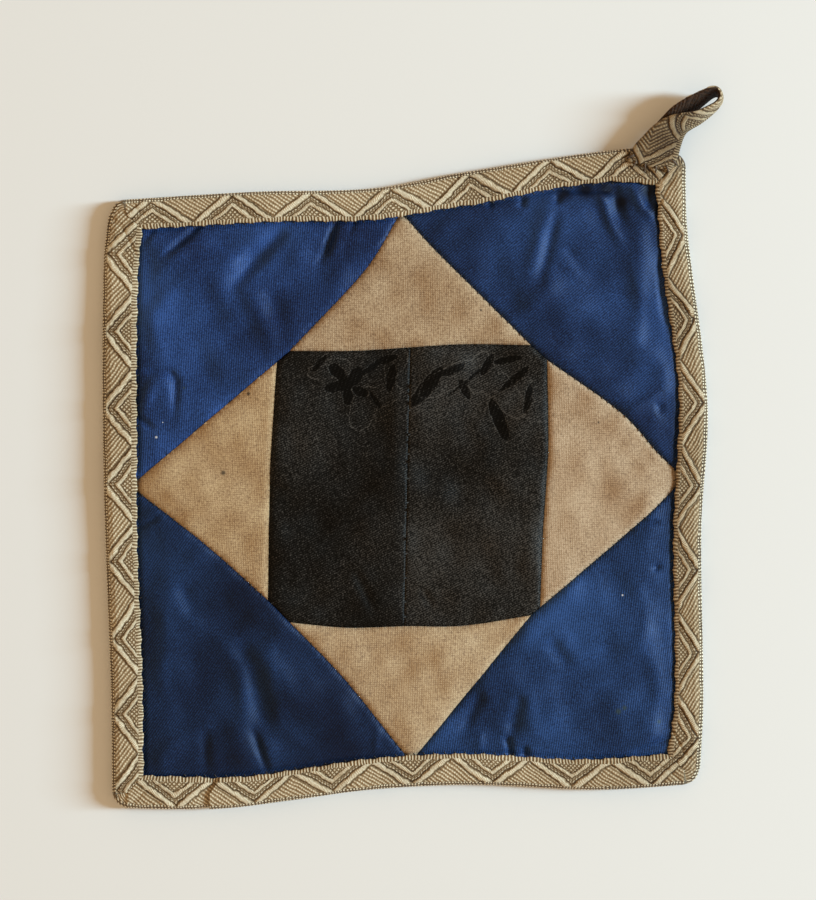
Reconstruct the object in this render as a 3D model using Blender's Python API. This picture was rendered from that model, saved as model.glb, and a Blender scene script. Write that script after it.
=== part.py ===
"""A patchwork pot holder: silk and plain cloth patches over two waddings and a backing, bound with
folded braid, with a hanging loop at one corner. +Z is up, the patchwork face is up, and the origin
is the middle of the back. Lengths are in millimetres until slab() and swept_frame() make meshes."""

import math

import bmesh
import bpy
from mathutils import Vector
from mathutils.geometry import delaunay_2d_cdt

MM = 0.001
GAP = 0.3  # clear space between pieces that touch
LATTICE = 12.0  # spacing of the points inside a cloth
LATTICE_REACH = 8  # rows and columns of those points, each way from the origin
WELD = 1e-6  # points nearer than this are one point when an outline is filled
STEP = 9.0  # spacing of the points along a seam

# The bound edge: its four corners, and its sides, clockwise seen from the face. Each side bows
# outwards, as (fraction along, bow).
CORNERS = {
    "top_left": Vector((-85.5, 85.0)),
    "top_right": Vector((81.5, 99.5)),
    "bottom_right": Vector((85.5, -84.5)),
    "bottom_left": Vector((-85.0, -91.5)),
}
SIDES = {
    "top": ("top_left", "top_right", ((0.25, -1.1), (0.46, -3.1), (0.62, -0.7), (0.9, 2.0))),
    "right": ("top_right", "bottom_right", ((0.12, 0.0), (0.4, 4.8), (0.6, 2.2), (0.87, 1.7))),
    "bottom": ("bottom_right", "bottom_left", ((0.17, 0.0), (0.38, -3.3), (0.56, -2.8), (0.82, 1.0))),
    "left": ("bottom_left", "top_left", ((0.18, 0.3), (0.55, 2.3), (0.9, 2.1))),
}
STATIONS = 15  # points along each side
CORNER_CUT = 0.015  # fraction of a side that a folded corner takes off
EDGE_PARTS = 8  # pieces of a corner patch's edge along each of its two sides

# The binding: a braid 19 mm wide, folded over the raw edges.
BINDING_WIDTH = 9.2
BINDING_THICK = 0.7
BINDING_HEIGHT = 4.9
FOLD = 1.6  # how far the fold's rounding reaches in from the edge
FOLD_TURN = (0.5, 0.45)  # inset and drop of the middle of that rounding
FOLD_FLAT = 1.4  # the edge is upright between this far above the back and below the top
FOLD_INSIDE = (0.9, 1.2)  # inset and drop of the fold's inner corner
BINDING_JOIN = 0.836  # fraction along the bottom side where the two ends meet
JOIN_CLEAR = 0.01  # fraction of the side either side of the join without another station

# The cloth layers end this far inside the fold, are flat under the binding, and then swell.
LAYER_INSET = 1.7
RIM = 10.0
SETTLE = 7.0
SWELL = 35.0

# Heights of each layer's under and upper side: at the rim, the drop to the table, the crown.
LAYERS = {
    "backing": ((1.0, 1.0, 0.0), (1.4, 1.0, 0.0)),
    "wadding_lower": ((1.7, 1.0, 0.0), (2.3, 0.0, 0.1)),
    "wadding_upper": ((2.6, 0.0, 0.1), (3.2, 0.0, 1.5)),
    "face": ((3.5, 0.0, 1.5), (3.9, 0.0, 1.5)),
}

# The patchwork: the diamond's four points, and the black square, whose corners the blue cuts off.
TIPS = {"top": (-1.2, 79.5), "right": (80.9, 5.2), "bottom": (2.3, -76.6), "left": (-77.7, 2.0)}
SQUARE = {
    "top_left": ((-37.1, 38.0), (-33.4, 41.2)),
    "top_right": ((36.5, 42.9), (41.2, 38.6)),
    "bottom_right": ((39.2, -33.1), (36.5, -35.4)),
    "bottom_left": ((-33.4, -37.4), (-39.7, -31.0)),
}
CENTRE_SEAM = ((1.5, 42.2), (-0.3, -38.5))
SQUARE_BOWS = {"left": ((-39.2, 2.3), (-38.6, 15.4)), "right": ((41.5, 12.5), (40.0, -10.7))}
SEAM_BOWS = {
    "top_left": (-11.6, 64.7),
    "top_right": (10.2, 69.0),
    "right_top": (62.0, 24.6),
    "right_bottom": (68.2, -8.1),
    "bottom_left": (-17.4, -54.2),
    "left_bottom": (-59.5, -13.6),
}

# The hanging loop: a narrow band on edge, its neck sewn at the right end of the top side.
LOOP_TIP_RADIUS = 3.05
LOOP_TIP = Vector((88.4, 114.7))
LOOP_THROAT = Vector((78.4, 106.4))
LOOP_THICK = 1.15
TIP_TURN = 1.8  # radians either side of the tip that the eye's round end takes up
TIP_PARTS = 14
NECK_FROM, NECK_TO = 0.93, 0.984
NECK_GAP = 0.6
NECK_WAIST = (Vector((74.2, 106.2)), Vector((81.4, 104.4)))
HINGE = Vector((74.5, 100.2, BINDING_HEIGHT))
LOOP_LOW = (2.7, -0.3)  # under side: at the neck, and its rise to the eye
LOOP_HIGH = (4.9, 4.1)
LOOP_RISE = 9.0  # distance from the hinge over which the loop reaches its full width


def clear_scene():
    for item in list(bpy.data.objects):
        bpy.data.objects.remove(item, do_unlink=True)


def linear(hex_colour):
    """The linear colour, with alpha, of an sRGB hex string."""
    parts = [int(hex_colour[i : i + 2], 16) / 255 for i in (0, 2, 4)]
    return [p / 12.92 if p <= 0.04045 else ((p + 0.055) / 1.055) ** 2.4 for p in parts] + [1.0]


def material(name, hex_colour, roughness, sheen=0.0):
    made = bpy.data.materials.new(name)
    made.use_nodes = True
    shader = made.node_tree.nodes["Principled BSDF"]
    shader.inputs["Base Color"].default_value = linear(hex_colour)
    shader.inputs["Roughness"].default_value = roughness
    shader.inputs["Sheen Weight"].default_value = sheen
    return made


def smooth(value):
    value = min(max(value, 0.0), 1.0)
    return value * value * (3 - 2 * value)


def through(points, share):
    """A smooth curve through (fraction, value) points, read at one fraction."""
    passed = sum(fraction <= share for fraction, _ in points[:-1])
    index = max(passed - 1, 0)
    slopes = []
    for i in (index, index + 1):
        before, after = points[max(i - 1, 0)], points[min(i + 1, len(points) - 1)]
        slopes.append((after[1] - before[1]) / (after[0] - before[0]))
    (start, low), (end, high) = points[index], points[index + 1]
    span = end - start
    t = (share - start) / span
    return (
        low * (1 + 2 * t) * (1 - t) ** 2
        + high * t * t * (3 - 2 * t)
        + span * slopes[0] * t * (1 - t) ** 2
        - span * slopes[1] * t * t * (1 - t)
    )


def inward(side):
    """The direction from a side's chord into the pad."""
    start, end, _ = SIDES[side]
    chord = (CORNERS[end] - CORNERS[start]).normalized()
    return Vector((chord.y, -chord.x))


def inset_corner(corner, inset):
    first, second = [inward(side) for side in SIDES if corner in SIDES[side][:2]]
    return CORNERS[corner] + (first + second) * inset / (1 + first.dot(second))


def side_point(side, share, inset):
    """The point at a fraction along a side, moved into the pad by inset."""
    start, end, bows = SIDES[side]
    chord_point = inset_corner(start, inset).lerp(inset_corner(end, inset), share)
    return chord_point - inward(side) * through(((0, 0), *bows, (1, 0)), share)


def share_of(side, point):
    """The fraction along a side that lies opposite a point."""
    start, end, _ = SIDES[side]
    chord = CORNERS[end] - CORNERS[start]
    return (point - CORNERS[start]).dot(chord) / chord.length_squared


def stations():
    span = 1 - 2 * CORNER_CUT
    return [CORNER_CUT + span * i / (STATIONS - 1) for i in range(STATIONS)]


def ring(inset):
    return [side_point(side, share, inset) for side in SIDES for share in stations()]


def depths(point):
    """How far a point lies inside each of the four bowed sides."""
    found = []
    for side in SIDES:
        share = min(max(share_of(side, point), 0.0), 1.0)
        found.append((point - side_point(side, share, 0.0)).dot(inward(side)))
    return found


def height(point, surface):
    """The height of a layer's surface over a point."""
    rim, drop, crown = surface
    settled, swelled = 1.0, 1.0
    for depth in depths(point):
        settled *= min(max((depth - RIM) / SETTLE, 0.0), 1.0)
        swelled *= smooth((depth - RIM) / SWELL)
    return rim - drop * settled + crown * swelled


def seam(*points):
    """Points no further than STEP apart along a line through the given ones, without the last."""
    points = [Vector(p) for p in points]
    found = []
    for a, b in zip(points, points[1:]):
        parts = max(1, round((b - a).length / STEP))
        found += [a.lerp(b, i / parts) for i in range(parts)]
    return found


def shrink(outline, distance):
    """A clockwise outline moved inwards by a small distance."""
    found = []
    for i, point in enumerate(outline):
        normals = []
        for a, b in ((outline[i - 1], point), (point, outline[(i + 1) % len(outline)])):
            along = (b - a).normalized()
            normals.append(Vector((along.y, -along.x)))
        found.append(point + (normals[0] + normals[1]) * distance / (1 + normals[0].dot(normals[1])))
    return found


def inside(point, outlines):
    """True where a point is in an odd number of the outlines."""
    crossings = 0
    for outline in outlines:
        for i, a in enumerate(outline):
            b = outline[i - 1]
            if (a.y > point.y) != (b.y > point.y):
                crossings += point.x < a.x + (point.y - a.y) * (b.x - a.x) / (b.y - a.y)
    return crossings % 2 == 1


def lattice(outlines, margin):
    """Evenly spaced points inside the outlines and clear of them."""
    edge_points = [p for outline in outlines for p in outline]
    found = []
    for row in range(-LATTICE_REACH, LATTICE_REACH + 1):
        for column in range(-LATTICE_REACH, LATTICE_REACH + 1):
            point = Vector(((column + 0.5 * (row % 2)) * LATTICE, row * LATTICE))
            clear = min((point - p).length for p in edge_points) > margin
            if clear and inside(point, outlines):
                found.append(point)
    return found


def slab(name, finish, outlines, guides, under, over, pivot=Vector()):
    """A closed sheet: outlines filled with triangles through the guide points, between heights."""
    points = []
    edges = []
    for outline in outlines:
        first = len(points)
        points += outline
        edges += [(first + i, first + (i + 1) % len(outline)) for i in range(len(outline))]
    plan, _, triangles, *_ = delaunay_2d_cdt(points + guides, edges, [], 0, WELD, False)
    kept = []
    for triangle in triangles:
        middle = sum((plan[i] for i in triangle), Vector((0, 0))) / 3
        if inside(middle, outlines):
            kept.append(triangle)

    build = bmesh.new()
    low = [build.verts.new((Vector((*p, under(p))) - pivot) * MM) for p in plan]
    high = [build.verts.new((Vector((*p, over(p))) - pivot) * MM) for p in plan]
    borders = {}
    for triangle in kept:
        build.faces.new([high[i] for i in triangle])
        build.faces.new([low[i] for i in reversed(triangle)])
        for i, start in enumerate(triangle):
            end = triangle[(i + 1) % 3]
            if borders.pop((end, start), None) is None:
                borders[(start, end)] = True
    for start, end in borders:
        build.faces.new((low[start], low[end], high[end], high[start]))
    return finished(name, finish, build, pivot)


def swept_frame(name, finish, section, shares):
    """A section of (inset, height) points carried round the pad's edge, closed at both ends."""
    build = bmesh.new()
    loops = []
    for side, share in shares:
        loops.append(
            [
                build.verts.new(Vector((*side_point(side, share, inset), level)) * MM)
                for inset, level in section
            ]
        )
    for before, after in zip(loops, loops[1:]):
        for i, corner in enumerate(before):
            build.faces.new((corner, before[i - 1], after[i - 1], after[i]))
    build.faces.new(loops[0])
    build.faces.new(list(reversed(loops[-1])))
    return finished(name, finish, build, Vector())


def finished(name, finish, build, pivot):
    """The bmesh as an object with its origin at the pivot, and its faces pointing out."""
    bmesh.ops.recalc_face_normals(build, faces=build.faces)
    mesh = bpy.data.meshes.new(name)
    build.to_mesh(mesh)
    build.free()
    mesh.materials.append(finish)
    made = bpy.data.objects.new(name, mesh)
    made.location = pivot * MM
    bpy.context.scene.collection.objects.link(made)
    return made


def full_layer(name, finish, layer):
    """A cloth or wadding that covers the whole pad, with a bend line either side of the step."""
    under, over = LAYERS[layer]
    bends = ring(RIM) + ring(RIM + SETTLE)
    guides = bends + lattice([ring(RIM + SETTLE)], 0.5 * LATTICE)
    slab(
        name,
        finish,
        [ring(LAYER_INSET)],
        guides,
        lambda p: height(p, under),
        lambda p: height(p, over),
    )


def patch(name, finish, outline):
    """A face patch, half a gap inside the seams round it."""
    under, over = LAYERS["face"]
    trimmed = shrink(outline, GAP / 2)
    slab(
        name,
        finish,
        [trimmed],
        lattice([trimmed], 0.5 * LATTICE),
        lambda p: height(p, under),
        lambda p: height(p, over),
    )


def edge_line(first_side, second_side):
    """The layers' edge from the tip on one side, round the corner, to the tip on the next."""
    found = []
    for side, low, high in (
        (first_side, share_of(first_side, Vector(TIPS[first_side])), 1 - CORNER_CUT),
        (second_side, CORNER_CUT, share_of(second_side, Vector(TIPS[second_side]))),
    ):
        for i in range(EDGE_PARTS + 1):
            found.append(side_point(side, low + (high - low) * i / EDGE_PARTS, LAYER_INSET))
    return found


def corner_patch(name, finish, first_side, second_side, seam_points):
    """A blue triangle: round the pad's corner, then back along its seam with the diamond."""
    edge = edge_line(first_side, second_side)
    patch(name, finish, edge + seam(TIPS[second_side], *seam_points, TIPS[first_side], edge[0]))


clear_scene()
black_silk = material("black_silk_damask", "262422", 0.55, 0.2)
fawn_cloth = material("fawn_plain_weave", "a78e6c", 0.85)
blue_silk = material("blue_silk_twill", "28395c", 0.5, 0.3)
cotton_wadding = material("cotton_wadding", "d8d0c0", 0.95)
backing_cotton = material("backing_cotton", "8d7a60", 0.9)
braid = material("jacquard_braid", "9a8468", 0.7)

# The black square, its four cut corners, and its middle seam.
square_tl, square_tr, square_br, square_bl = [SQUARE[corner] for corner in CORNERS]
seam_top, seam_bottom = CENTRE_SEAM
left_edge = (square_bl[1], *SQUARE_BOWS["left"], square_tl[0])
right_edge = (square_tr[1], *SQUARE_BOWS["right"], square_br[0])
patch(
    "centre_patch_left",
    black_silk,
    seam(*left_edge, square_tl[1], seam_top, seam_bottom, square_bl[0], square_bl[1]),
)
patch(
    "centre_patch_right",
    black_silk,
    seam(seam_top, square_tr[0], *right_edge, square_br[1], seam_bottom, seam_top),
)

# The diamond: a wedge from each side of the square to a tip at the binding.
patch(
    "diamond_patch_top",
    fawn_cloth,
    seam(
        square_tl[1],
        SEAM_BOWS["top_left"],
        TIPS["top"],
        SEAM_BOWS["top_right"],
        square_tr[0],
        seam_top,
        square_tl[1],
    ),
)
patch(
    "diamond_patch_right",
    fawn_cloth,
    seam(
        square_tr[1],
        SEAM_BOWS["right_top"],
        TIPS["right"],
        SEAM_BOWS["right_bottom"],
        *reversed(right_edge),
    ),
)
patch(
    "diamond_patch_bottom",
    fawn_cloth,
    seam(square_br[1], TIPS["bottom"], SEAM_BOWS["bottom_left"], square_bl[0], seam_bottom, square_br[1]),
)
patch(
    "diamond_patch_left",
    fawn_cloth,
    seam(square_bl[1], SEAM_BOWS["left_bottom"], TIPS["left"], *reversed(left_edge)),
)

# The blue corners.
corner_patch(
    "corner_patch_top_left",
    blue_silk,
    "left",
    "top",
    (SEAM_BOWS["top_left"], square_tl[1], square_tl[0]),
)
corner_patch(
    "corner_patch_top_right",
    blue_silk,
    "top",
    "right",
    (SEAM_BOWS["right_top"], square_tr[1], square_tr[0], SEAM_BOWS["top_right"]),
)
corner_patch(
    "corner_patch_bottom_right",
    blue_silk,
    "right",
    "bottom",
    (square_br[1], square_br[0], SEAM_BOWS["right_bottom"]),
)
corner_patch(
    "corner_patch_bottom_left",
    blue_silk,
    "bottom",
    "left",
    (SEAM_BOWS["left_bottom"], square_bl[1], square_bl[0], SEAM_BOWS["bottom_left"]),
)

# The filling and the back.
full_layer("wadding_upper", cotton_wadding, "wadding_upper")
full_layer("wadding_lower", cotton_wadding, "wadding_lower")
full_layer("backing_cloth", backing_cotton, "backing")

# The binding: a U round the edge, from one side of its join round to the other.
top, inner_top = BINDING_HEIGHT, BINDING_HEIGHT - BINDING_THICK
turn_inset, turn_drop = FOLD_TURN
inside_inset, inside_drop = FOLD_INSIDE
outer_face = [(BINDING_WIDTH, top), (FOLD, top), (turn_inset, top - turn_drop), (0.0, top - FOLD_FLAT)]
outer_face += [(0.0, FOLD_FLAT), (turn_inset, turn_drop), (FOLD, 0.0), (BINDING_WIDTH, 0.0)]
inner_face = [(BINDING_WIDTH, BINDING_THICK), (FOLD, BINDING_THICK), (inside_inset, inside_drop)]
inner_face += [(inside_inset, top - inside_drop), (FOLD, inner_top), (BINDING_WIDTH, inner_top)]
half_gap = 0.5 * GAP / (CORNERS["bottom_right"] - CORNERS["bottom_left"]).length
frame_shares = [("bottom", BINDING_JOIN + half_gap)]
frame_shares += [("bottom", share) for share in stations() if share > BINDING_JOIN + JOIN_CLEAR]
frame_shares += [(side, share) for side in ("left", "top", "right") for share in stations()]
frame_shares += [("bottom", share) for share in stations() if share < BINDING_JOIN - JOIN_CLEAR]
frame_shares += [("bottom", BINDING_JOIN - half_gap)]
swept_frame("edge_binding", braid, outer_face + inner_face, frame_shares)

# The hanging loop: a neck from the top side, then a band round a drop-shaped eye.
loop_axis = (LOOP_TIP - LOOP_THROAT).normalized()
loop_side = Vector((-loop_axis.y, loop_axis.x))


def tip_arc(radius):
    """The round end of the eye, from its left side over the tip to its right side."""
    found = []
    for i in range(TIP_PARTS + 1):
        angle = TIP_TURN * (1 - 2 * i / TIP_PARTS)
        found.append(LOOP_TIP + (loop_axis * math.cos(angle) + loop_side * math.sin(angle)) * radius)
    return found


def loop_height(level):
    at_neck, rise = level
    return lambda p: at_neck + rise * smooth((p.y - HINGE.y) / LOOP_RISE)


neck_shares = (NECK_TO, 0.5 * (NECK_TO + NECK_FROM), NECK_FROM)
neck_base = [side_point("top", share, -NECK_GAP) for share in neck_shares]
waist_left, waist_right = NECK_WAIST
loop_outside = [*neck_base, waist_left, *tip_arc(LOOP_TIP_RADIUS + LOOP_THICK), waist_right]
loop_eye = [LOOP_THROAT, *tip_arc(LOOP_TIP_RADIUS)]
slab(
    "hanging_loop",
    braid,
    [loop_outside, loop_eye],
    [],
    loop_height(LOOP_LOW),
    loop_height(LOOP_HIGH),
    HINGE,
)
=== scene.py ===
import math

import bmesh
import bpy
import numpy as np
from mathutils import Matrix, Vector
from mathutils.geometry import delaunay_2d_cdt


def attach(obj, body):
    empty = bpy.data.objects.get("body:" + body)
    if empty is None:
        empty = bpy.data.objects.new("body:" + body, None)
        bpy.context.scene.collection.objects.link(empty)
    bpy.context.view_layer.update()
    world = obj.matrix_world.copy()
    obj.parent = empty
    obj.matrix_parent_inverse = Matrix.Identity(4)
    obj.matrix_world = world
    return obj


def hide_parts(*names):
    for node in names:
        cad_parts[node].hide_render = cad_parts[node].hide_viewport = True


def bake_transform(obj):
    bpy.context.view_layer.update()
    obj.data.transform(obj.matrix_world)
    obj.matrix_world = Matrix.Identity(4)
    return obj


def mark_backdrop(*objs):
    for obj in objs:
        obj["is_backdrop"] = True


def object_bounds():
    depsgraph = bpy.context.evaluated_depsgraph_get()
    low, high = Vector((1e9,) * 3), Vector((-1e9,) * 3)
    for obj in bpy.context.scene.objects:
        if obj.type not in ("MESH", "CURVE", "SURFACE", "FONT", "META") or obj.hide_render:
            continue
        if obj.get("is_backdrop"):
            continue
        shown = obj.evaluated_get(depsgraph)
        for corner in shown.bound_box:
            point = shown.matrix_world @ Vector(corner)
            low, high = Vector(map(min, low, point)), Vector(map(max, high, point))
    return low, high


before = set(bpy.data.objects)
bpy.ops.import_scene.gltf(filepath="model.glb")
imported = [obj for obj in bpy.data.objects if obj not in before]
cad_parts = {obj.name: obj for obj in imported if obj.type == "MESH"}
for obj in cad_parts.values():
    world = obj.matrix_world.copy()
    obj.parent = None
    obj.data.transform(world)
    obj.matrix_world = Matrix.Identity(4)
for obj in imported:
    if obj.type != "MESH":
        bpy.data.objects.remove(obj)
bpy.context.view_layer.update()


# ---- The backing cloth -------------------------------------------------------------------------
# A square of plain brown cotton that closes the back. It rests on the table in the middle and
# climbs over the braid's under half at the rim, where the binding holds it.

MM = 0.001
CORNERS = {
    "top_left": (-85.5, 85.0),
    "top_right": (81.5, 99.5),
    "bottom_right": (85.5, -84.5),
    "bottom_left": (-85.0, -91.5),
}
# Each side runs clockwise from corner to corner, and bows outwards by (fraction along, bow in mm).
SIDES = {
    "top": ("top_left", "top_right", ((0.25, -1.1), (0.46, -3.1), (0.62, -0.7), (0.9, 2.0))),
    "right": ("top_right", "bottom_right", ((0.12, 0.0), (0.4, 4.8), (0.6, 2.2), (0.87, 1.7))),
    "bottom": (
        "bottom_right",
        "bottom_left",
        ((0.17, 0.5), (0.38, -2.4), (0.56, -2.2), (0.7, 0.0), (0.82, 1.5)),
    ),
    "left": ("bottom_left", "top_left", ((0.18, 0.3), (0.55, 2.3), (0.9, 2.1))),
}
LAYER_INSET = 1.9
CORNER_RADIUS = 4.6
RIM = 9.4


def side_frame(side):
    """A side's start, its chord's length, and the directions along it and into the pad."""
    start, end, _ = SIDES[side]
    chord = np.subtract(CORNERS[end], CORNERS[start])
    length = np.hypot(*chord)
    along = chord / length
    return np.array(CORNERS[start]), length, along, np.array((along[1], -along[0]))


def bow(side, share):
    """How far a side bows outwards at fractions along it: a smooth curve through its bows."""
    knots = np.array(((0.0, 0.0), *SIDES[side][2], (1.0, 0.0)))
    last = len(knots) - 1
    before = knots[np.maximum(np.arange(last + 1) - 1, 0)]
    after = knots[np.minimum(np.arange(last + 1) + 1, last)]
    slopes = (after[:, 1] - before[:, 1]) / (after[:, 0] - before[:, 0])
    i = np.clip(np.searchsorted(knots[:, 0], share, side="right") - 1, 0, last - 1)
    span = knots[i + 1, 0] - knots[i, 0]
    t = (share - knots[i, 0]) / span
    rise = knots[i, 1] * (1 + 2 * t) * (1 - t) ** 2 + knots[i + 1, 1] * t * t * (3 - 2 * t)
    return rise + span * t * (1 - t) * (slopes[i] * (1 - t) - slopes[i + 1] * t)


def inset_corner(corner, inset):
    """A corner of the pad's outline, moved into the pad by an inset from both its sides."""
    first, second = [side_frame(side)[3] for side in SIDES if corner in SIDES[side][:2]]
    reach = (first + second) / (1 + first @ second)
    return np.array(CORNERS[corner]) + np.multiply.outer(inset, reach)


def side_points(side, share, inset):
    """Points at fractions along a side, moved into the pad by an inset."""
    start, end, _ = SIDES[side]
    share = np.asarray(share, float)[..., None]
    chord = inset_corner(start, inset) * (1 - share) + inset_corner(end, inset) * share
    return chord - side_frame(side)[3] * bow(side, share[..., 0])[..., None]


def depths(points):
    """How far points lie inside each of the four bowed sides, one column for each."""
    found = []
    for side in SIDES:
        start, length, along, inwards = side_frame(side)
        share = np.clip((points - start) @ along / length, 0, 1)
        found.append((points - start) @ inwards + bow(side, share))
    return np.stack(found, -1)


def smooth(value):
    value = np.clip(value, 0, 1)
    return value * value * (3 - 2 * value)


def wander(seed, points, size):
    """A soft random relief from -1 to 1, whose hills are about size wide."""
    draw = np.random.default_rng(seed)
    total = np.zeros(len(points))
    for _ in range(9):
        angle, shift = draw.uniform(0, 2 * math.pi, 2)
        pitch = size * draw.uniform(0.7, 1.6)
        total += np.sin(2 * math.pi / pitch * (points @ (math.cos(angle), math.sin(angle))) + shift)
    return total / 3.5


def edge_ring(inset, step):
    """The pad's outline at an inset, with a point about every step, and its corners cut a little."""
    ring = []
    for side in SIDES:
        parts = int(side_frame(side)[1] / step)
        ring.append(side_points(side, np.linspace(0.012, 0.988, parts), inset))
    return np.concatenate(ring)


def inside(points, outline):
    """True for each point that lies within an outline."""
    odd = np.zeros(len(points), bool)
    for a, b in zip(outline, np.roll(outline, 1, 0)):
        level = (a[1] > points[:, 1]) != (b[1] > points[:, 1])
        run = a[0] + (points[:, 1] - a[1]) * (b[0] - a[0]) / (b[1] - a[1] + 1e-12)
        odd ^= level & (points[:, 0] < run)
    return odd


def distance_to(points, line, closed=False):
    """Each point's distance from a line of points, and how far along the line it is, 0 to 1."""
    ends = np.roll(line, -1, 0) if closed else line[1:]
    best = np.full(len(points), 1e9)
    where = np.zeros(len(points))
    for i, (a, b) in enumerate(zip(line, ends)):
        along = b - a
        t = np.clip((points - a) @ along / max(along @ along, 1e-12), 0, 1)
        gap = np.hypot(*(points - a - t[:, None] * along).T)
        nearer = gap < best
        best[nearer] = gap[nearer]
        where[nearer] = (i + t[nearer]) / len(ends)
    return best, where


def triangulated(outline, spacing):
    """An outline filled with evenly spaced points: the points, the triangles and the border."""
    low, high = outline.min(0), outline.max(0)
    rows = np.arange(low[1] + spacing, high[1], spacing * 0.866)
    columns = np.arange(low[0] + spacing, high[0], spacing)
    grid = np.stack(np.meshgrid(columns, rows), -1)
    grid[1::2, :, 0] += spacing / 2
    grid = grid.reshape(-1, 2)
    grid = grid[inside(grid, outline)]
    grid = grid[distance_to(grid, outline, closed=True)[0] > spacing * 0.55]
    count = len(outline)
    edges = [(i, (i + 1) % count) for i in range(count)]
    points = [Vector(p) for p in np.concatenate((outline, grid))]
    plan, _, faces, *_ = delaunay_2d_cdt(points, edges, [], 0, 1e-7, False)
    plan = np.array([tuple(p) for p in plan])
    faces = np.array(faces)
    faces = faces[inside(plan[faces].mean(1), outline)]
    pairs = np.concatenate((faces[:, [0, 1]], faces[:, [1, 2]], faces[:, [2, 0]]))
    known = {tuple(pair) for pair in pairs}
    border = np.array([pair for pair in pairs if (pair[1], pair[0]) not in known])
    return plan, faces, border


def new_piece(name, points, faces, finish):
    """A smooth-shaded mesh piece from points in millimetres."""
    mesh = bpy.data.meshes.new(name)
    mesh.from_pydata((np.asarray(points) * MM).tolist(), [], [tuple(f) for f in faces])
    mesh.materials.append(finish)
    mesh.shade_smooth()
    mesh.validate()
    made = bpy.data.objects.new(name, mesh)
    bpy.context.scene.collection.objects.link(made)
    return made


def cloth_piece(name, outline, spacing, over, thick, finish):
    """A closed thin cloth: outline in plan, the height of its upper side, and its thickness."""
    plan, faces, border = triangulated(outline, spacing)
    top = over(plan)
    upper = np.column_stack((plan, top))
    lower = np.column_stack((plan, top - thick))
    count = len(plan)
    sides = [(b, a, a + count, b + count) for a, b in border]
    under = faces[:, ::-1] + count
    made = new_piece(name, np.concatenate((upper, lower)), [*faces, *under, *sides], finish)
    return made, plan


def linear(colour):
    """The linear colour, with alpha, of an sRGB hex string."""
    parts = [int(colour[i : i + 2], 16) / 255 for i in (0, 2, 4)]
    return [p / 12.92 if p <= 0.04045 else ((p + 0.055) / 1.055) ** 2.4 for p in parts] + [1.0]


def add(tree, kind, inputs=(), out=0, **settings):
    """Adds a node with its settings, sets or links its inputs, and gives one of its outputs."""
    node = tree.nodes.new("ShaderNode" + kind)
    for name, value in settings.items():
        setattr(node, name, value)
    for key, value in inputs.items() if isinstance(inputs, dict) else enumerate(inputs):
        if isinstance(value, bpy.types.NodeSocket):
            tree.links.new(value, node.inputs[key])
        elif value is not None:
            node.inputs[key].default_value = value
    return node.outputs[out] if node.outputs else None


def ramp(tree, value, *stops):
    """A colour ramp over a value: stops are (position, hex colour)."""
    socket = add(tree, "ValToRGB", [value])
    band = socket.node.color_ramp
    band.elements[0].position, band.elements[1].position = stops[0][0], stops[-1][0]
    band.elements[0].color, band.elements[1].color = linear(stops[0][1]), linear(stops[-1][1])
    for position, colour in stops[1:-1]:
        band.elements.new(position).color = linear(colour)
    return socket


def material(name, build):
    """A material whose shader sockets build(tree) gives as a dictionary."""
    made = bpy.data.materials.new(name)
    made.use_nodes = True
    tree = made.node_tree
    tree.nodes.clear()
    shader = add(tree, "BsdfPrincipled", build(tree))
    add(tree, "OutputMaterial", [shader])
    return made


WAVE_PERIOD = 2 * math.pi / 20  # a wave texture's period, in its own units, at a scale of 1


def woven(tree, angle, warp_mm, weft_mm):
    """Coordinates along a cloth's grain, and its warp and weft threads as two waves from 0 to 1."""
    place = add(tree, "TexCoord", out="Object")
    grain = add(tree, "Mapping", {"Vector": place, "Rotation": (0, 0, math.radians(angle))})
    threads = []
    for direction, pitch in (("X", warp_mm), ("Y", weft_mm)):
        threads.append(
            add(
                tree,
                "TexWave",
                {"Vector": grain, "Scale": WAVE_PERIOD / (pitch * MM), "Distortion": 0.0},
                bands_direction=direction,
            )
        )
    return grain, *threads


def backing_sockets(tree):
    grain, warp, weft = woven(tree, 4, 0.9, 0.9)
    weave = add(tree, "Math", [warp, weft], operation="MULTIPLY")
    slub = add(tree, "TexNoise", {"Vector": grain, "Scale": 900.0, "Detail": 3.0})
    stain = add(tree, "TexNoise", {"Vector": grain, "Scale": 28.0, "Detail": 4.0})
    tone = add(tree, "Math", [weave, 0.45, slub], operation="MULTIPLY_ADD")
    tone = add(tree, "Math", [stain, 0.7, tone], operation="MULTIPLY_ADD")
    return {
        "Base Color": ramp(tree, tone, (0.3, "6b5a45"), (0.85, "8d7a60"), (1.3 / 1.6, "a08b6d")),
        "Roughness": 0.9,
        "Sheen Weight": 0.25,
        "Normal": add(tree, "Bump", {"Strength": 0.5, "Distance": 0.0002, "Height": weave}),
    }


# Brown cotton, plain woven and undyed: matt, with threads coarse enough to see.
plain_cotton = material("plain_woven_cotton", backing_sockets)


def backing_height(plan):
    settled = np.prod(smooth((depths(plan) - RIM - 0.4) / 7.0), -1)
    crease = 0.12 * np.abs(wander(5, plan, 34)) * settled
    return 1.35 - 0.85 * settled + crease


backing, _ = cloth_piece(
    "backing_sheet", edge_ring(LAYER_INSET, 1.6), 1.7, backing_height, 0.3, plain_cotton
)
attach(backing, "pad")
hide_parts("backing_cloth")


# ---- The two waddings --------------------------------------------------------------------------
# Two squares of cotton wadding, loose and fibrous, one on the other. They fill the pad, thin where
# the binding grips them and thicker in the middle, and they are covered on both sides.


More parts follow.
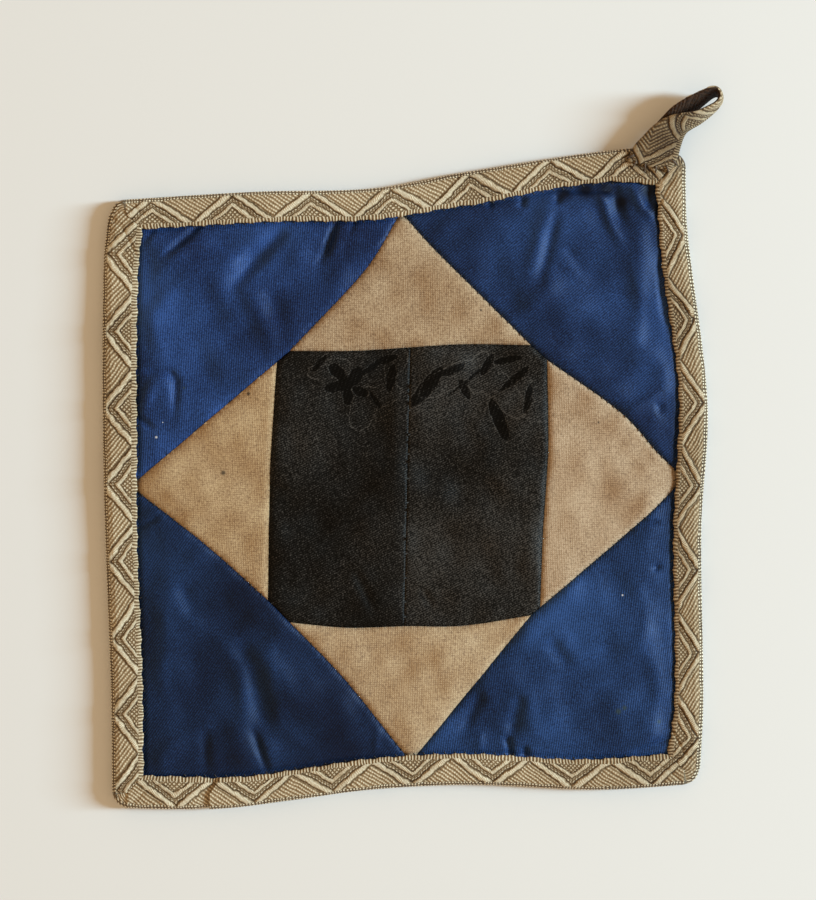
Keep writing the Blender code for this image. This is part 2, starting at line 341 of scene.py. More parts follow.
def puff(plan):
    """The front's height before its folds: low under the binding, then a gentle crown."""
    deep = depths(plan)
    rising = np.prod(smooth((deep - RIM) / (8.5 + 3.5 * wander(31, plan, 19))[:, None]), -1)
    crown = np.prod(smooth((deep - RIM) / 42.0), -1)
    return 4.05 + 0.75 * rising + 0.6 * crown


def wadding_sockets(tree):
    place = add(tree, "TexCoord", out="Object")
    fibres = add(tree, "TexNoise", {"Vector": place, "Scale": 1400.0, "Detail": 5.0, "Roughness": 0.8})
    clumps = add(tree, "TexNoise", {"Vector": place, "Scale": 160.0, "Detail": 3.0})
    tone = add(tree, "Math", [fibres, clumps], operation="MULTIPLY")
    return {
        "Base Color": ramp(tree, tone, (0.1, "b9ae98"), (0.3, "d8d0c0"), (0.5, "e6e0d2")),
        "Roughness": 1.0,
        "Sheen Weight": 0.4,
        "Normal": add(tree, "Bump", {"Strength": 0.8, "Distance": 0.0006, "Height": tone}),
    }


# Carded cotton: an off-white felt with no sheen, full of small clumps.
carded_cotton = material("carded_cotton_wadding", wadding_sockets)


def wadding_piece(name, node, under, over):
    """A closed pad of wadding between two heights."""
    plan, faces, border = triangulated(edge_ring(LAYER_INSET + 0.4, 2.2), 2.3)
    count = len(plan)
    points = np.concatenate((np.column_stack((plan, over(plan))), np.column_stack((plan, under(plan)))))
    sides = [(b, a, a + count, b + count) for a, b in border]
    made = new_piece(name, points, [*faces, *(faces[:, ::-1] + count), *sides], carded_cotton)
    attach(made, "pad")
    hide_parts(node)
    return made


def wadding_split(plan):
    return 0.45 * (puff(plan) - 1.0) + 0.55 * backing_height(plan) + 0.08 * wander(8, plan, 12)


def wadding_top(plan):
    middle = np.prod(smooth((depths(plan) - RIM + 2.4) / 2.4), -1)
    return np.maximum(puff(plan) - 0.5 - 1.7 * middle, wadding_split(plan) + 0.25)


wadding_piece(
    "lower_wadding",
    "wadding_lower",
    lambda plan: backing_height(plan) + 0.03,
    lambda plan: wadding_split(plan) - 0.04,
)
wadding_upper = wadding_piece(
    "upper_wadding", "wadding_upper", lambda plan: wadding_split(plan) + 0.04, wadding_top
)


# ---- The shape of the front --------------------------------------------------------------------
# The silks and the diamond are one sewn front. It is simulated once, laid over the wadding, held
# by the binding and drawn down at its seams, and the patches after this take their heights from it.

TIPS = {"top": (-1.2, 81.6), "right": (81.2, 4.5), "bottom": (1.7, -78.1), "left": (-79.8, 2.0)}
SQUARE = {
    "top_left": ((-37.1, 38.0), (-33.4, 41.2)),
    "top_right": ((36.5, 42.9), (41.2, 38.6)),
    "bottom_right": ((39.2, -33.1), (36.5, -35.4)),
    "bottom_left": ((-33.4, -37.4), (-39.7, -31.0)),
}
CENTRE_SEAM = ((1.5, 42.2), (-0.3, -38.5))
SEAM_STEP = 0.7


def curve(*points, step=SEAM_STEP):
    """A smooth line through points, with a point about every step."""
    points = np.array(points, float)
    last = len(points) - 1
    found = []
    for i in range(last):
        before, after = points[max(i - 1, 0)], points[min(i + 2, last)]
        a, b = points[i], points[i + 1]
        parts = max(1, round(np.hypot(*(b - a)[:2]) / step))
        slope_a = (b - before) / (1 if i == 0 else 2)
        slope_b = (after - a) / (1 if i + 1 == last else 2)
        t = (np.arange(parts) / parts)[:, None]
        found.append(
            a * (1 + 2 * t) * (1 - t) ** 2
            + b * t * t * (3 - 2 * t)
            + slope_a * t * (1 - t) ** 2
            - slope_b * t * t * (1 - t)
        )
    return np.concatenate((*found, points[-1:]))


square_tl, square_tr, square_br, square_bl = SQUARE.values()
seam_top, seam_bottom = CENTRE_SEAM
SEAMS = {
    "centre": curve(seam_top, seam_bottom),
    "black_top_left": curve(square_tl[1], (-16.0, 41.2), seam_top),
    "black_top_right": curve(seam_top, (18.5, 43.2), square_tr[0]),
    "cut_tr": curve(*square_tr),
    "black_right": curve(square_tr[1], (41.5, 12.5), (40.0, -10.7), square_br[0]),
    "cut_br": curve(*square_br),
    "black_bottom_right": curve(square_br[1], (17.0, -38.4), seam_bottom),
    "black_bottom_left": curve(seam_bottom, (-17.0, -39.0), square_bl[0]),
    "cut_bl": curve(*square_bl),
    "black_left": curve(square_bl[1], (-39.2, 2.3), (-38.6, 15.4), square_tl[0]),
    "cut_tl": curve(*square_tl),
    "top_left": curve(TIPS["top"], (-11.6, 64.7), square_tl[1]),
    "top_right": curve(square_tr[0], (10.2, 69.0), TIPS["top"]),
    "right_top": curve(square_tr[1], (62.4, 23.4), (74.0, 11.0), TIPS["right"]),
    "right_bottom": curve(TIPS["right"], (74.0, -2.9), (64.0, -12.0), square_br[0]),
    "bottom_right": curve(square_br[1], TIPS["bottom"]),
    "bottom_left": curve(TIPS["bottom"], (-17.4, -54.2), square_bl[0]),
    "left_bottom": curve(square_bl[1], (-59.5, -13.6), TIPS["left"]),
    "left_top": curve(TIPS["left"], square_tl[0]),
}
# Folds where the cloth is gathered or creased: (depth in mm, below 0 for a ridge; width; points).
FOLDS = [
    # The top left corner.
    (0.9, 1.7, (-58.6, 80.3), (-60.2, 77.3), (-65.6, 72.3), (-72.0, 66.5)),
    (0.5, 1.3, (-72.6, 77.0), (-76.5, 71.5)),
    (0.8, 3.6, (-33.6, 80.0), (-34.8, 77.0), (-43.5, 67.5), (-49.3, 60.3), (-50.8, 53.5)),
    (0.9, 1.5, (-19.2, 81.0), (-20.3, 78.1), (-23.2, 69.7), (-26.6, 64.6)),
    (0.5, 1.2, (-14.0, 81.0), (-14.9, 78.4), (-16.2, 74.0)),
    (0.5, 5.0, (-40.0, 60.5), (-35.0, 46.5)),
    (-0.6, 3.0, (-25.4, 79.0), (-26.0, 76.0), (-37.7, 60.0)),
    (-0.6, 3.2, (-50.0, 71.0), (-50.8, 69.0), (-57.9, 55.0)),
    (-0.35, 1.6, (-18.4, 77.0), (-20.6, 66.5)),
    (0.6, 1.8, (-79.0, 34.9), (-68.2, 34.9), (-66.5, 29.0), (-67.6, 18.0)),
    (-0.7, 4.2, (-76.5, 28.6), (-72.4, 26.8)),
    (0.5, 1.2, (-79.0, 22.9), (-71.9, 18.0)),
    (0.25, 6.0, (-70.0, 55.0), (-58.0, 38.0), (-50.0, 32.0)),
    # The top right corner, where the loop was sewn through the front.
    (0.7, 1.4, (34.4, 86.5), (33.6, 82.0)),
    (0.7, 1.6, (44.6, 87.0), (43.8, 83.0)),
    (0.5, 1.3, (24.9, 85.0), (24.4, 82.0)),
    (0.5, 2.4, (44.6, 84.0), (42.0, 73.3), (38.0, 57.0)),
    (-0.25, 1.8, (42.6, 84.0), (37.7, 70.4), (33.8, 55.5)),
    (0.3, 2.6, (46.4, 72.2), (53.0, 62.2)),
    (0.9, 1.6, (45.0, 87.2), (50.0, 87.8), (58.4, 87.8), (66.0, 88.8)),
    (0.8, 2.4, (60.4, 91.0), (61.5, 84.0), (64.4, 76.0)),
    (0.9, 2.2, (71.0, 91.0), (71.2, 80.4)),
    (-0.9, 1.5, (55.8, 89.5), (57.6, 84.0), (60.0, 77.5), (64.4, 69.0)),
    (-1.0, 1.7, (65.0, 91.5), (68.9, 82.8), (74.0, 79.2), (75.6, 70.5)),
    (-0.8, 1.5, (75.6, 72.0), (76.2, 63.9), (77.2, 54.5), (79.4, 43.0)),
    (0.6, 1.5, (73.6, 72.0), (74.0, 63.9), (75.0, 54.5), (77.0, 43.0)),
    (-0.4, 1.3, (62.8, 21.4), (70.3, 27.0), (79.3, 31.6)),
    (0.4, 2.2, (72.6, 24.2), (75.6, 25.2)),
    (0.3, 7.0, (22.0, 72.0), (34.0, 50.0), (52.0, 38.0)),
    # The bottom left corner.
    (0.45, 1.4, (-78.6, -10.5), (-69.6, -6.0)),
    (0.4, 3.4, (-64.9, -25.7), (-60.6, -37.8)),
    (0.9, 5.0, (-49.4, -41.0), (-42.2, -58.6), (-41.8, -75.7)),
    (-0.6, 3.0, (-38.6, -46.0), (-28.4, -66.1)),
    (-0.5, 3.2, (-46.0, -80.0), (-50.6, -62.0)),
    (0.7, 1.8, (-39.5, -82.5), (-44.8, -66.0)),
    (-0.4, 1.2, (-7.8, -66.3), (-8.8, -79.0)),
    (0.4, 2.4, (-58.0, -67.0), (-57.6, -84.0)),
    # The bottom right corner.
    (0.5, 0.9, (67.2, -8.7), (75.0, -8.7)),
    (0.6, 1.6, (72.6, -20.8), (73.8, -22.6)),
    (0.5, 3.6, (41.4, -41.6), (48.6, -52.3)),
    (0.6, 2.8, (33.9, -57.3), (30.0, -73.0)),
    (0.6, 2.6, (23.0, -56.9), (15.7, -71.0)),
    (0.9, 1.5, (29.6, -70.0), (31.0, -79.0)),
    (0.9, 1.5, (34.6, -73.0), (35.4, -79.0)),
    (-0.4, 1.2, (22.0, -68.5), (21.4, -79.0)),
    (0.5, 1.5, (65.0, -75.8), (78.9, -70.6)),
    # The black square.
    (0.35, 2.2, (-15.0, -21.0), (-7.6, -37.4)),
    (0.25, 2.0, (4.5, -27.1), (8.6, -34.4)),
    (0.25, 1.0, (-39.4, 1.7), (-33.0, 1.4)),
    # Soft dips of the diamond.
    (0.25, 5.0, (-18.0, 66.0), (14.0, 58.0)),
    (0.25, 5.0, (56.0, 12.0), (58.0, -12.0)),
]
VALLEY_GAIN = 1.75
RIDGE_GAIN = 0.95
RIDGE_SPREAD = 1.4
DEEPEST = 1.6
# How far the braid reaches in over the front: (fractions along each side, mm).
BRAID_REACH = {
    "top": ((0.0, 0.5, 0.66, 0.8, 1.0), (9.2, 9.2, 10.1, 9.2, 9.2)),
    "right": ((0.0, 0.08, 0.35, 0.45, 0.55, 0.93, 1.0), (9.2, 8.0, 8.0, 8.8, 8.2, 8.2, 9.2)),
    "bottom": ((0.0, 1.0), (9.2, 9.2)),
    "left": ((0.0, 0.4, 0.6, 0.9, 1.0), (9.2, 9.2, 10.0, 10.0, 9.2)),
}
SIM_STEP = 2.6
SIM_SCALE = 0.01
SIM_FRAMES = 44
SETTLED_SHARE = 0.6  # how much of the settled relief is kept
SEAM_STITCH = 2.2


def reach_at(plan):
    """How far the braid reaches in from each side beside points, one column for each side."""
    found = []
    for side in SIDES:
        start, length, along, _ = side_frame(side)
        found.append(np.interp((plan - start) @ along / length, *BRAID_REACH[side]))
    return np.stack(found, -1)


def folds_at(plan):
    """The listed folds' relief. Hollows run in under the binding, and ridges end before it."""
    hollows, ridges = np.zeros((2, len(plan)))
    for depth, width, *points in FOLDS:
        relief = hollows if depth > 0 else ridges
        width *= 1.0 if depth > 0 else RIDGE_SPREAD
        line = curve(*points, step=2.5)
        near = np.all((plan > line.min(0) - 2 * width) & (plan < line.max(0) + 2 * width), 1)
        gap, where = distance_to(plan[near], line)
        taper = smooth(4.5 * where) * smooth(2.3 * (1 - where))
        depth *= VALLEY_GAIN if depth > 0 else RIDGE_GAIN
        relief[near] -= depth * taper * np.exp(-((1.5 * gap / width) ** 2))
    deep = depths(plan)
    past = deep - reach_at(plan)
    under = np.prod(smooth((past + 1.2) / 1.2) * (0.65 + 0.35 * smooth((deep - RIM) / 6.0)), -1)
    return np.maximum(hollows, -DEEPEST) * under + ridges * np.prod(smooth((deep - RIM + 0.4) / 2.4), -1)


def seams_at(plan):
    """How far the seams draw the front down, with a pucker at each of their stitches."""
    relief = np.zeros(len(plan))
    for name, line in SEAMS.items():
        near = np.all((plan > line.min(0) - 5) & (plan < line.max(0) + 5), 1)
        gap, where = distance_to(plan[near], line)
        length = np.hypot(*np.diff(line, axis=0).T).sum()
        pucker = 1 + 0.25 * np.sin(2 * math.pi * where * length / SEAM_STITCH)
        depth = 0.1 if name == "centre" else 0.55
        drawn = depth * pucker * np.exp(-((gap / 0.8) ** 2)) + 0.3 * depth * np.exp(-((gap / 3.2) ** 2))
        relief[near] = np.minimum(relief[near], -drawn)
    return relief


def seam_distance(plan):
    return np.min([distance_to(plan, line[::3])[0] for line in SEAMS.values()], 0)


sim_x = np.arange(-91, 93, SIM_STEP)
sim_y = np.arange(-97, 105, SIM_STEP)
sim_plan = np.stack(np.meshgrid(sim_x, sim_y), -1).reshape(-1, 2)
sim_relief = np.zeros(len(sim_plan))


def simulate_front():
    """The front's cloth, a little larger than the wadding it covers, settled under its weight."""
    scene = bpy.context.scene
    columns = len(sim_x)
    start = puff(sim_plan) + 0.2 + 0.5 * folds_at(sim_plan) + 0.12 * wander(3, sim_plan, 15)
    held = smooth((11.5 - depths(sim_plan).min(-1)) / 2.5)
    sewn = 0.85 * smooth((2.6 - seam_distance(sim_plan)) / 1.8)
    start -= 0.5 * sewn * (1 - held)
    cells = [
        (i, i + 1, i + columns + 1, i + columns)
        for i in range(len(sim_plan) - columns)
        if (i + 1) % columns and depths(sim_plan[i : i + 1]).min() > 2
    ]
    meshes = []
    for name, heights, over in (("cloth", start, True), ("bed", puff(sim_plan) - 0.15, False)):
        mesh = bpy.data.meshes.new(name)
        mesh.from_pydata((np.column_stack((sim_plan, heights)) * SIM_SCALE).tolist(), [], cells)
        made = bpy.data.objects.new(name, mesh)
        scene.collection.objects.link(made)
        meshes.append(made)
    cloth, bed = meshes
    bed.modifiers.new("bed", "COLLISION")
    bed.collision.thickness_outer = 0.002
    bed.collision.cloth_friction = 8
    group = cloth.vertex_groups.new(name="sewn")
    for i, weight in enumerate(np.maximum(held, sewn)):
        if weight > 0.02:
            group.add([i], float(weight), "REPLACE")
    settings = cloth.modifiers.new("front", "CLOTH")
    settings.point_cache.frame_end = SIM_FRAMES
    settings.settings.vertex_group_mass = "sewn"
    settings.settings.quality = 5
    settings.settings.mass = 0.25
    settings.settings.tension_stiffness = 12
    settings.settings.compression_stiffness = 12
    settings.settings.shear_stiffness = 4
    settings.settings.bending_stiffness = 0.35
    settings.settings.shrink_min = -0.014
    settings.collision_settings.distance_min = 0.002
    settings.collision_settings.use_self_collision = False
    for frame_number in range(1, SIM_FRAMES + 1):
        scene.frame_set(frame_number)
    settled = cloth.evaluated_get(bpy.context.evaluated_depsgraph_get()).data
    heights = np.array([v.co.z for v in settled.vertices]) / SIM_SCALE
    scene.frame_set(1)
    for made in meshes:
        mesh = made.data
        bpy.data.objects.remove(made)
        bpy.data.meshes.remove(mesh)
    return (heights - puff(sim_plan)) * (1 - held)


sim_relief = simulate_front()


def spline_weights(t):
    """The four weights of a smooth curve between grid points, at a fraction t of the way."""
    return (
        (1 - t) ** 3 / 6,
        (3 * t**3 - 6 * t**2 + 4) / 6,
        (-3 * t**3 + 3 * t**2 + 3 * t + 1) / 6,
        t**3 / 6,
    )


def simulated_at(plan):
    """The settled relief between the grid's points."""
    table = sim_relief.reshape(len(sim_y), len(sim_x))
    column = np.clip((plan[:, 0] - sim_x[0]) / SIM_STEP, 1, len(sim_x) - 2.001)
    row = np.clip((plan[:, 1] - sim_y[0]) / SIM_STEP, 1, len(sim_y) - 2.001)
    i, j = column.astype(int), row.astype(int)
    total = 0.0
    for down, weight_down in enumerate(spline_weights(row - j)):
        for right, weight_right in enumerate(spline_weights(column - i)):
            near_row = np.minimum(j + down - 1, len(sim_y) - 1)
            near_column = np.minimum(i + right - 1, len(sim_x) - 1)
            total = total + weight_down * weight_right * table[near_row, near_column]
    return total


def front_height(plan):
    """The front's height. Soft random swells make most of its relief, and the rest comes from the
    settled cloth, the listed folds and the seams."""
    deep = depths(plan)
    free = np.prod(smooth((deep - RIM - 0.5) / 8.0), -1)
    swells = free * (0.72 * wander(21, plan, 25) + 0.2 * wander(22, plan, 11))
    tucked = 0.6 * np.exp(-(((deep - reach_at(plan)) / 0.8) ** 2)).max(-1)
    settled = SETTLED_SHARE * simulated_at(plan)
    return puff(plan) + swells + settled + folds_at(plan) + seams_at(plan) - tucked


FRONT_THICK = 0.3
FRONT_SPACING = 0.72
SEWING_GAP = 0.03


def trimmed(outline, distance):
    """A clockwise outline moved inwards by a small distance."""
    ahead = np.roll(outline, -1, 0) - outline
    ahead /= np.hypot(*ahead.T)[:, None] + 1e-12
    inwards = np.column_stack((ahead[:, 1], -ahead[:, 0]))
    both = inwards + np.roll(inwards, 1, 0)
    facing = np.sum(inwards * np.roll(inwards, 1, 0), 1)
    return outline + distance * both / np.maximum(1 + facing, 0.3)[:, None]


def front_patch(name, node, parts, finish):
    """A patch of the front. Its outline is made of seams, reversed where a name starts with -."""
    lines = []
    for part in parts:
        if isinstance(part, str):
            part = SEAMS[part.lstrip("-")][:: -1 if part[0] == "-" else 1]
        lines.append(part)
    outline = np.concatenate([line[:-1] for line in lines])
    inner = trimmed(outline, SEWING_GAP)
    made, _ = cloth_piece(name, inner, FRONT_SPACING, front_height, FRONT_THICK, finish)
    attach(made, "pad")
    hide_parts(node)
    return made


# ---- The black centre --------------------------------------------------------------------------
# Two halves of a black silk damask, seamed down the middle. A satin ground with a woven spray of
# flowers and leaves, cut through by the seams, so the two halves don't match.

LEAF_SPRAY = [
    # x and y of the middle, angle in degrees, half length and half width, all in mm.
    (-17.4, 31.6, 20, 3.4, 2.3),
    (-14.2, 34.0, 70, 3.2, 2.0),
    (-19.6, 35.2, -40, 3.2, 2.0),
    (-20.8, 30.6, 10, 2.8, 1.7),
    (-16.6, 28.0, 95, 3.0, 1.7),
    (-13.0, 29.4, -30, 2.8, 1.6),
    (-9.4, 36.6, 35, 4.6, 1.0),
    (-8.6, 27.0, -55, 3.2, 0.8),
    (-4.0, 33.4, 80, 4.6, 1.5),
    (-5.4, 38.8, 15, 4.0, 1.2),
    (-24.8, 37.6, 50, 3.6, 0.9),
    (6.4, 30.8, 52, 8.2, 2.3),
    (13.8, 35.6, 24, 4.4, 1.2),
    (19.0, 33.4, 38, 9.6, 0.5),
    (23.8, 37.2, 62, 4.2, 1.3),
    (17.2, 30.0, -62, 3.8, 1.2),
    (27.2, 21.2, -68, 7.6, 2.0),
    (31.6, 33.0, 40, 6.2, 1.2),
    (29.8, 38.6, 12, 4.8, 1.1),
    (35.6, 27.4, 78, 5.0, 1.2),
]
STEMS = [
    # The same, for thin curved outlines.
    (-12.0, 24.6, 70, 7.4, 4.2),
    (-6.2, 28.4, 20, 5.8, 3.4),
    (-2.6, 37.6, 60, 5.2, 3.0),
    (12.2, 33.0, 30, 10.4, 3.6),
    (21.8, 35.0, 75, 6.8, 3.6),
    (27.0, 30.6, -50, 12.0, 4.6),
    (-22.0, 36.0, 15, 7.0, 2.8),
]


def ellipses(tree, place, sizes):
    """The greatest of several cones: 1 in the middle of each ellipse and 0 at its edge."""
    figure = None
    for x, y, angle, half_length, half_width in sizes:
        local = add(
            tree,
            "Mapping",
            {
                "Vector": place,
                "Location": (x * MM, y * MM, 0),
                "Rotation": (0, 0, math.radians(angle)),
                "Scale": (half_length * MM, half_width * MM, 1.0),
            },
            vector_type="TEXTURE",
        )
        leaf = add(tree, "TexGradient", [local], out=1, gradient_type="SPHERICAL")
        figure = leaf if figure is None else add(tree, "Math", [figure, leaf], operation="MAXIMUM")
    return figure


def damask_sockets(tree, shift):
    grain, warp, weft = woven(tree, 63, 0.62, 1.7)
    place = add(tree, "TexCoord", out="Object")
    blur = add(tree, "TexNoise", {"Vector": place, "Scale": 700.0, "Detail": 2.0}, out=1)
    shifted = add(tree, "VectorMath", [blur, (0.0011, 0.0011, 0.0)], operation="MULTIPLY")
    shifted = add(tree, "VectorMath", [place, shifted], operation="ADD")
    shifted = add(tree, "VectorMath", [shifted, (0.00055, 0.00055, 0.0)], operation="SUBTRACT")
    leaves = ellipses(tree, shifted, LEAF_SPRAY)
    figure = add(tree, "MapRange", {"Value": leaves, "From Min": 0.02, "From Max": 0.16})
    stems = add(tree, "Math", [ellipses(tree, shifted, STEMS), 0.09, 0.035], operation="COMPARE")
    _, hatching, _ = woven(tree, 20, 1.1, 1.0)
    # Fine light grains: partly the satin's weave and partly painted glints.
    grains_and_glints = add(tree, "TexNoise", {"Vector": grain, "Scale": 2300.0, "Detail": 2.0, "Roughness": 0.7})
    worn = add(tree, "TexNoise", {"Vector": place, "Scale": 30.0, "Detail": 4.0})
    tone = add(tree, "Math", [warp, 0.12, grains_and_glints], operation="MULTIPLY_ADD")
    tone = add(tree, "Math", [worn, 0.36, tone], operation="MULTIPLY_ADD")
    tone = add(tree, "Math", [tone, shift], operation="ADD")
    edge = add(tree, "Math", [figure, 0.5, 0.4], operation="COMPARE")
    edge = add(tree, "Math", [edge, stems], operation="MAXIMUM")
    ribbed = add(tree, "Math", [hatching, 0.16, -0.3], operation="MULTIPLY_ADD")
    # The figure is darker than the ground: the woven pattern, with the satin's sheen painted into the
    # ground as a greyer tone.
    tone = add(tree, "Math", [figure, ribbed, tone], operation="MULTIPLY_ADD")
    tone = add(tree, "Math", [edge, 0.13, tone], operation="MULTIPLY_ADD")
    height = add(tree, "Math", [figure, -0.9, warp], operation="MULTIPLY_ADD")
    height = add(tree, "Math", [grains_and_glints, 1.2, height], operation="MULTIPLY_ADD")
    return {
        "Base Color": ramp(
            tree, tone, (0.48, "020202"), (0.7, "0a0908"), (0.84, "201e1c"), (0.98, "4a4642")
        ),
        "Roughness": 0.42,
        "Specular IOR Level": 0.08,
        "Normal": add(tree, "Bump", {"Strength": 0.35, "Distance": 0.0002, "Height": height}),
    }


# Black silk damask, satin woven: near black, its ground greyer than the figure, and the left half
# a shade darker than the right. The figure is the woven pattern, and the ground's greyer tone is
# painted sheen of the satin. Its fine light grains are partly the weave and partly painted glints.
damask_left = material("black_silk_damask_left", lambda tree: damask_sockets(tree, 0.02))
damask_right = material("black_silk_damask_right", lambda tree: damask_sockets(tree, 0.06))

front_patch(
    "centre_left",
    "centre_patch_left",
    ["black_left", "cut_tl", "black_top_left", "centre", "black_bottom_left", "cut_bl"],
    damask_left,
)
front_patch(
    "centre_right",
    "centre_patch_right",
    ["black_top_right", "cut_tr", "black_right", "cut_br", "black_bottom_right", "-centre"],
    damask_right,
)


# ---- The fawn diamond --------------------------------------------------------------------------
# Four wedges of a plain woven fawn cloth, sewn to the black square's sides. The weft has slubs,
# and the cloth is a little uneven in tone, with a few dark specks.

SPECKS = ((-45.3, 28.8, 0.7), (-52.7, 5.9, 0.9), (-50.2, 40.0, 0.4), (22.0, 53.0, 0.4), (56.0, 20.5, 0.4))


def spots(tree, place, sizes):
    """Small soft spots, 1 in their middles: sizes are (x, y, radius) in mm."""
    found = None
    for x, y, radius in sizes:
        local = add(
            tree,
            "Mapping",
            {"Vector": place, "Location": (x * MM, y * MM, 0), "Scale": (radius * MM, radius * MM, 1.0)},
            vector_type="TEXTURE",
        )
        spot = add(tree, "TexGradient", [local], out=1, gradient_type="SPHERICAL")
        found = spot if found is None else add(tree, "Math", [found, spot], operation="MAXIMUM")
    return found


def fawn_sockets(tree, angle, tint):
    grain, warp, weft = woven(tree, angle, 0.52, 0.6)
    place = add(tree, "TexCoord", out="Object")
    weave = add(tree, "Math", [warp, weft], operation="MULTIPLY")
    stretch = add(tree, "Mapping", {"Vector": grain, "Scale": (1.0, 0.06, 1.0)})
    slub = add(tree, "TexNoise", {"Vector": stretch, "Scale": 2400.0, "Detail": 3.0, "Roughness": 0.7})
    across = add(tree, "Mapping", {"Vector": grain, "Scale": (0.08, 1.0, 1.0)})
    cross = add(tree, "TexNoise", {"Vector": across, "Scale": 2200.0, "Detail": 2.0})
    faded = add(tree, "TexNoise", {"Vector": place, "Scale": 34.0, "Detail": 5.0, "Roughness": 0.6})
    grit = add(tree, "TexNoise", {"Vector": grain, "Scale": 2000.0, "Detail": 2.0})
    tone = add(tree, "Math", [weave, 0.2, grit], operation="MULTIPLY_ADD")
    tone = add(tree, "Math", [slub, 0.45, tone], operation="MULTIPLY_ADD")
    tone = add(tree, "Math", [cross, 0.25, tone], operation="MULTIPLY_ADD")
    tone = add(tree, "Math", [faded, 0.22, tone], operation="MULTIPLY_ADD")
    dirt = spots(tree, place, SPECKS)
    clean = add(tree, "MapRange", {"Value": dirt, "From Max": 0.6, "To Min": 1.0, "To Max": 0.25})
    tone = add(tree, "Math", [tone, 0.74], operation="MULTIPLY")
    colour = ramp(tree, tone, (0.52, tint[0]), (0.7, tint[1]), (0.88, tint[2]))
    height = add(tree, "Math", [slub, 0.8, weave], operation="MULTIPLY_ADD")
    return {
        "Base Color": add(tree, "VectorMath", [colour, clean], operation="MULTIPLY"),
        "Roughness": 0.8,
        "Sheen Weight": 0.15,
        "Specular IOR Level": 0.3,
        "Normal": add(tree, "Bump", {"Strength": 0.45, "Distance": 0.00018, "Height": height}),
    }


# Fawn plain weave: a warm matt ground, finely lined by uneven threads in both directions. Real
# threads are too fine to show, so their spacing is a guess and they are drawn coarse.
FAWN_TINTS = {
    "top": ("775d45", "9b7f61", "b79d7d"),
    "right": ("7e6650", "a3886b", "bda386"),
    "bottom": ("806750", "a48868", "bea481"),
    "left": ("7c6044", "a0825f", "bb9e77"),
}
FAWN_GRAIN = {"top": 1, "right": 2, "bottom": -2, "left": 3}
FAWN_OUTLINES = {
    "top": ["-top_left", "-top_right", "-black_top_right", "-black_top_left"],
    "right": ["right_top", "right_bottom", "-black_right"],
    "bottom": ["bottom_right", "bottom_left", "-black_bottom_left", "-black_bottom_right"],
    "left": ["left_bottom", "left_top", "-black_left"],
}
for side, outline in FAWN_OUTLINES.items():
    finish = material(
        f"fawn_plain_weave_{side}", lambda tree: fawn_sockets(tree, FAWN_GRAIN[side], FAWN_TINTS[side])
    )
    front_patch(f"diamond_{side}", f"diamond_patch_{side}", outline, finish)


# ---- The blue corners --------------------------------------------------------------------------
# Four triangles of a blue twilled silk fill the square out to the binding. Each was cut in its
# own direction, so the fine diagonal rib turns from corner to corner, and all have a soft lustre.


# Specks of pale lint.
LINT = ((-72.1, 16.2, 0.45), (63.1, -29.6, 0.35), (-70.2, 20.5, 0.2))
# Small dull marks.
MARKS = ((61.8, -63.2, 1.1), (63.6, -62.2, 0.9), (73.6, -66.2, 0.8), (-64.0, 30.5, 0.5))
# Dark patches in the cloth's colour below the loop's stitches. They stand in for the shadows of
# deep creases that the mesh doesn't have, and so they stay dark in any light.
CREASE_DARKS = (
    (46.5, 87.2, 3.4),
    (52.5, 88.0, 4.2),
    (58.5, 88.4, 4.6),
    (63.0, 84.5, 3.6),
    (70.5, 88.0, 4.6),
    (72.8, 82.6, 3.0),
)


def twill_sockets(tree, angle, tint):
    grain, warp, weft = woven(tree, angle, 0.66, 0.9)
    place = add(tree, "TexCoord", out="Object")
    uneven = add(tree, "TexNoise", {"Vector": grain, "Scale": 2600.0, "Detail": 1.0})
    mottled = add(tree, "TexNoise", {"Vector": place, "Scale": 30.0, "Detail": 2.0, "Roughness": 0.5})
    cloudy = add(tree, "TexNoise", {"Vector": place, "Scale": 110.0, "Detail": 2.0})
    tone = add(tree, "Math", [uneven, 0.7], operation="MULTIPLY")
    tone = add(tree, "Math", [warp, 0.22, tone], operation="MULTIPLY_ADD")
    tone = add(tree, "Math", [mottled, 0.9, tone], operation="MULTIPLY_ADD")
    tone = add(tree, "Math", [cloudy, 0.14, tone], operation="MULTIPLY_ADD")
    tone = add(tree, "Math", [tone, 0.74], operation="MULTIPLY")
    height = add(tree, "Math", [uneven, 0.6, warp], operation="MULTIPLY_ADD")
    cloth = ramp(tree, tone, (0.54, tint[0]), (0.73, tint[1]), (0.92, tint[2]))
    lint = spots(tree, place, LINT)
    lint = add(tree, "Math", [lint, 1.6], operation="MULTIPLY", use_clamp=True)
    flecked = {"Factor": lint, 6: cloth, 7: linear("c9ccd2")}
    flecked = add(tree, "Mix", flecked, out=2, data_type="RGBA")
    dulled = spots(tree, place, MARKS)
    dulled = add(tree, "Math", [dulled, 1.4], operation="MULTIPLY", use_clamp=True)
    marked = {"Factor": dulled, 6: flecked, 7: linear("2c3a40")}
    marked = add(tree, "Mix", marked, out=2, data_type="RGBA")
    creased = spots(tree, place, CREASE_DARKS)
    creased = add(tree, "Math", [creased, 1.3], operation="MULTIPLY", use_clamp=True)
    darkened = {"Factor": creased, 6: marked, 7: linear("070c1a")}
    return {
        "Base Color": add(tree, "Mix", darkened, out=2, data_type="RGBA"),
        "Roughness": 0.5,
        "Specular IOR Level": 0.3,
        "Specular Tint": linear("b4c1e6"),
        "Normal": add(tree, "Bump", {"Strength": 0.3, "Distance": 0.00016, "Height": height}),
    }


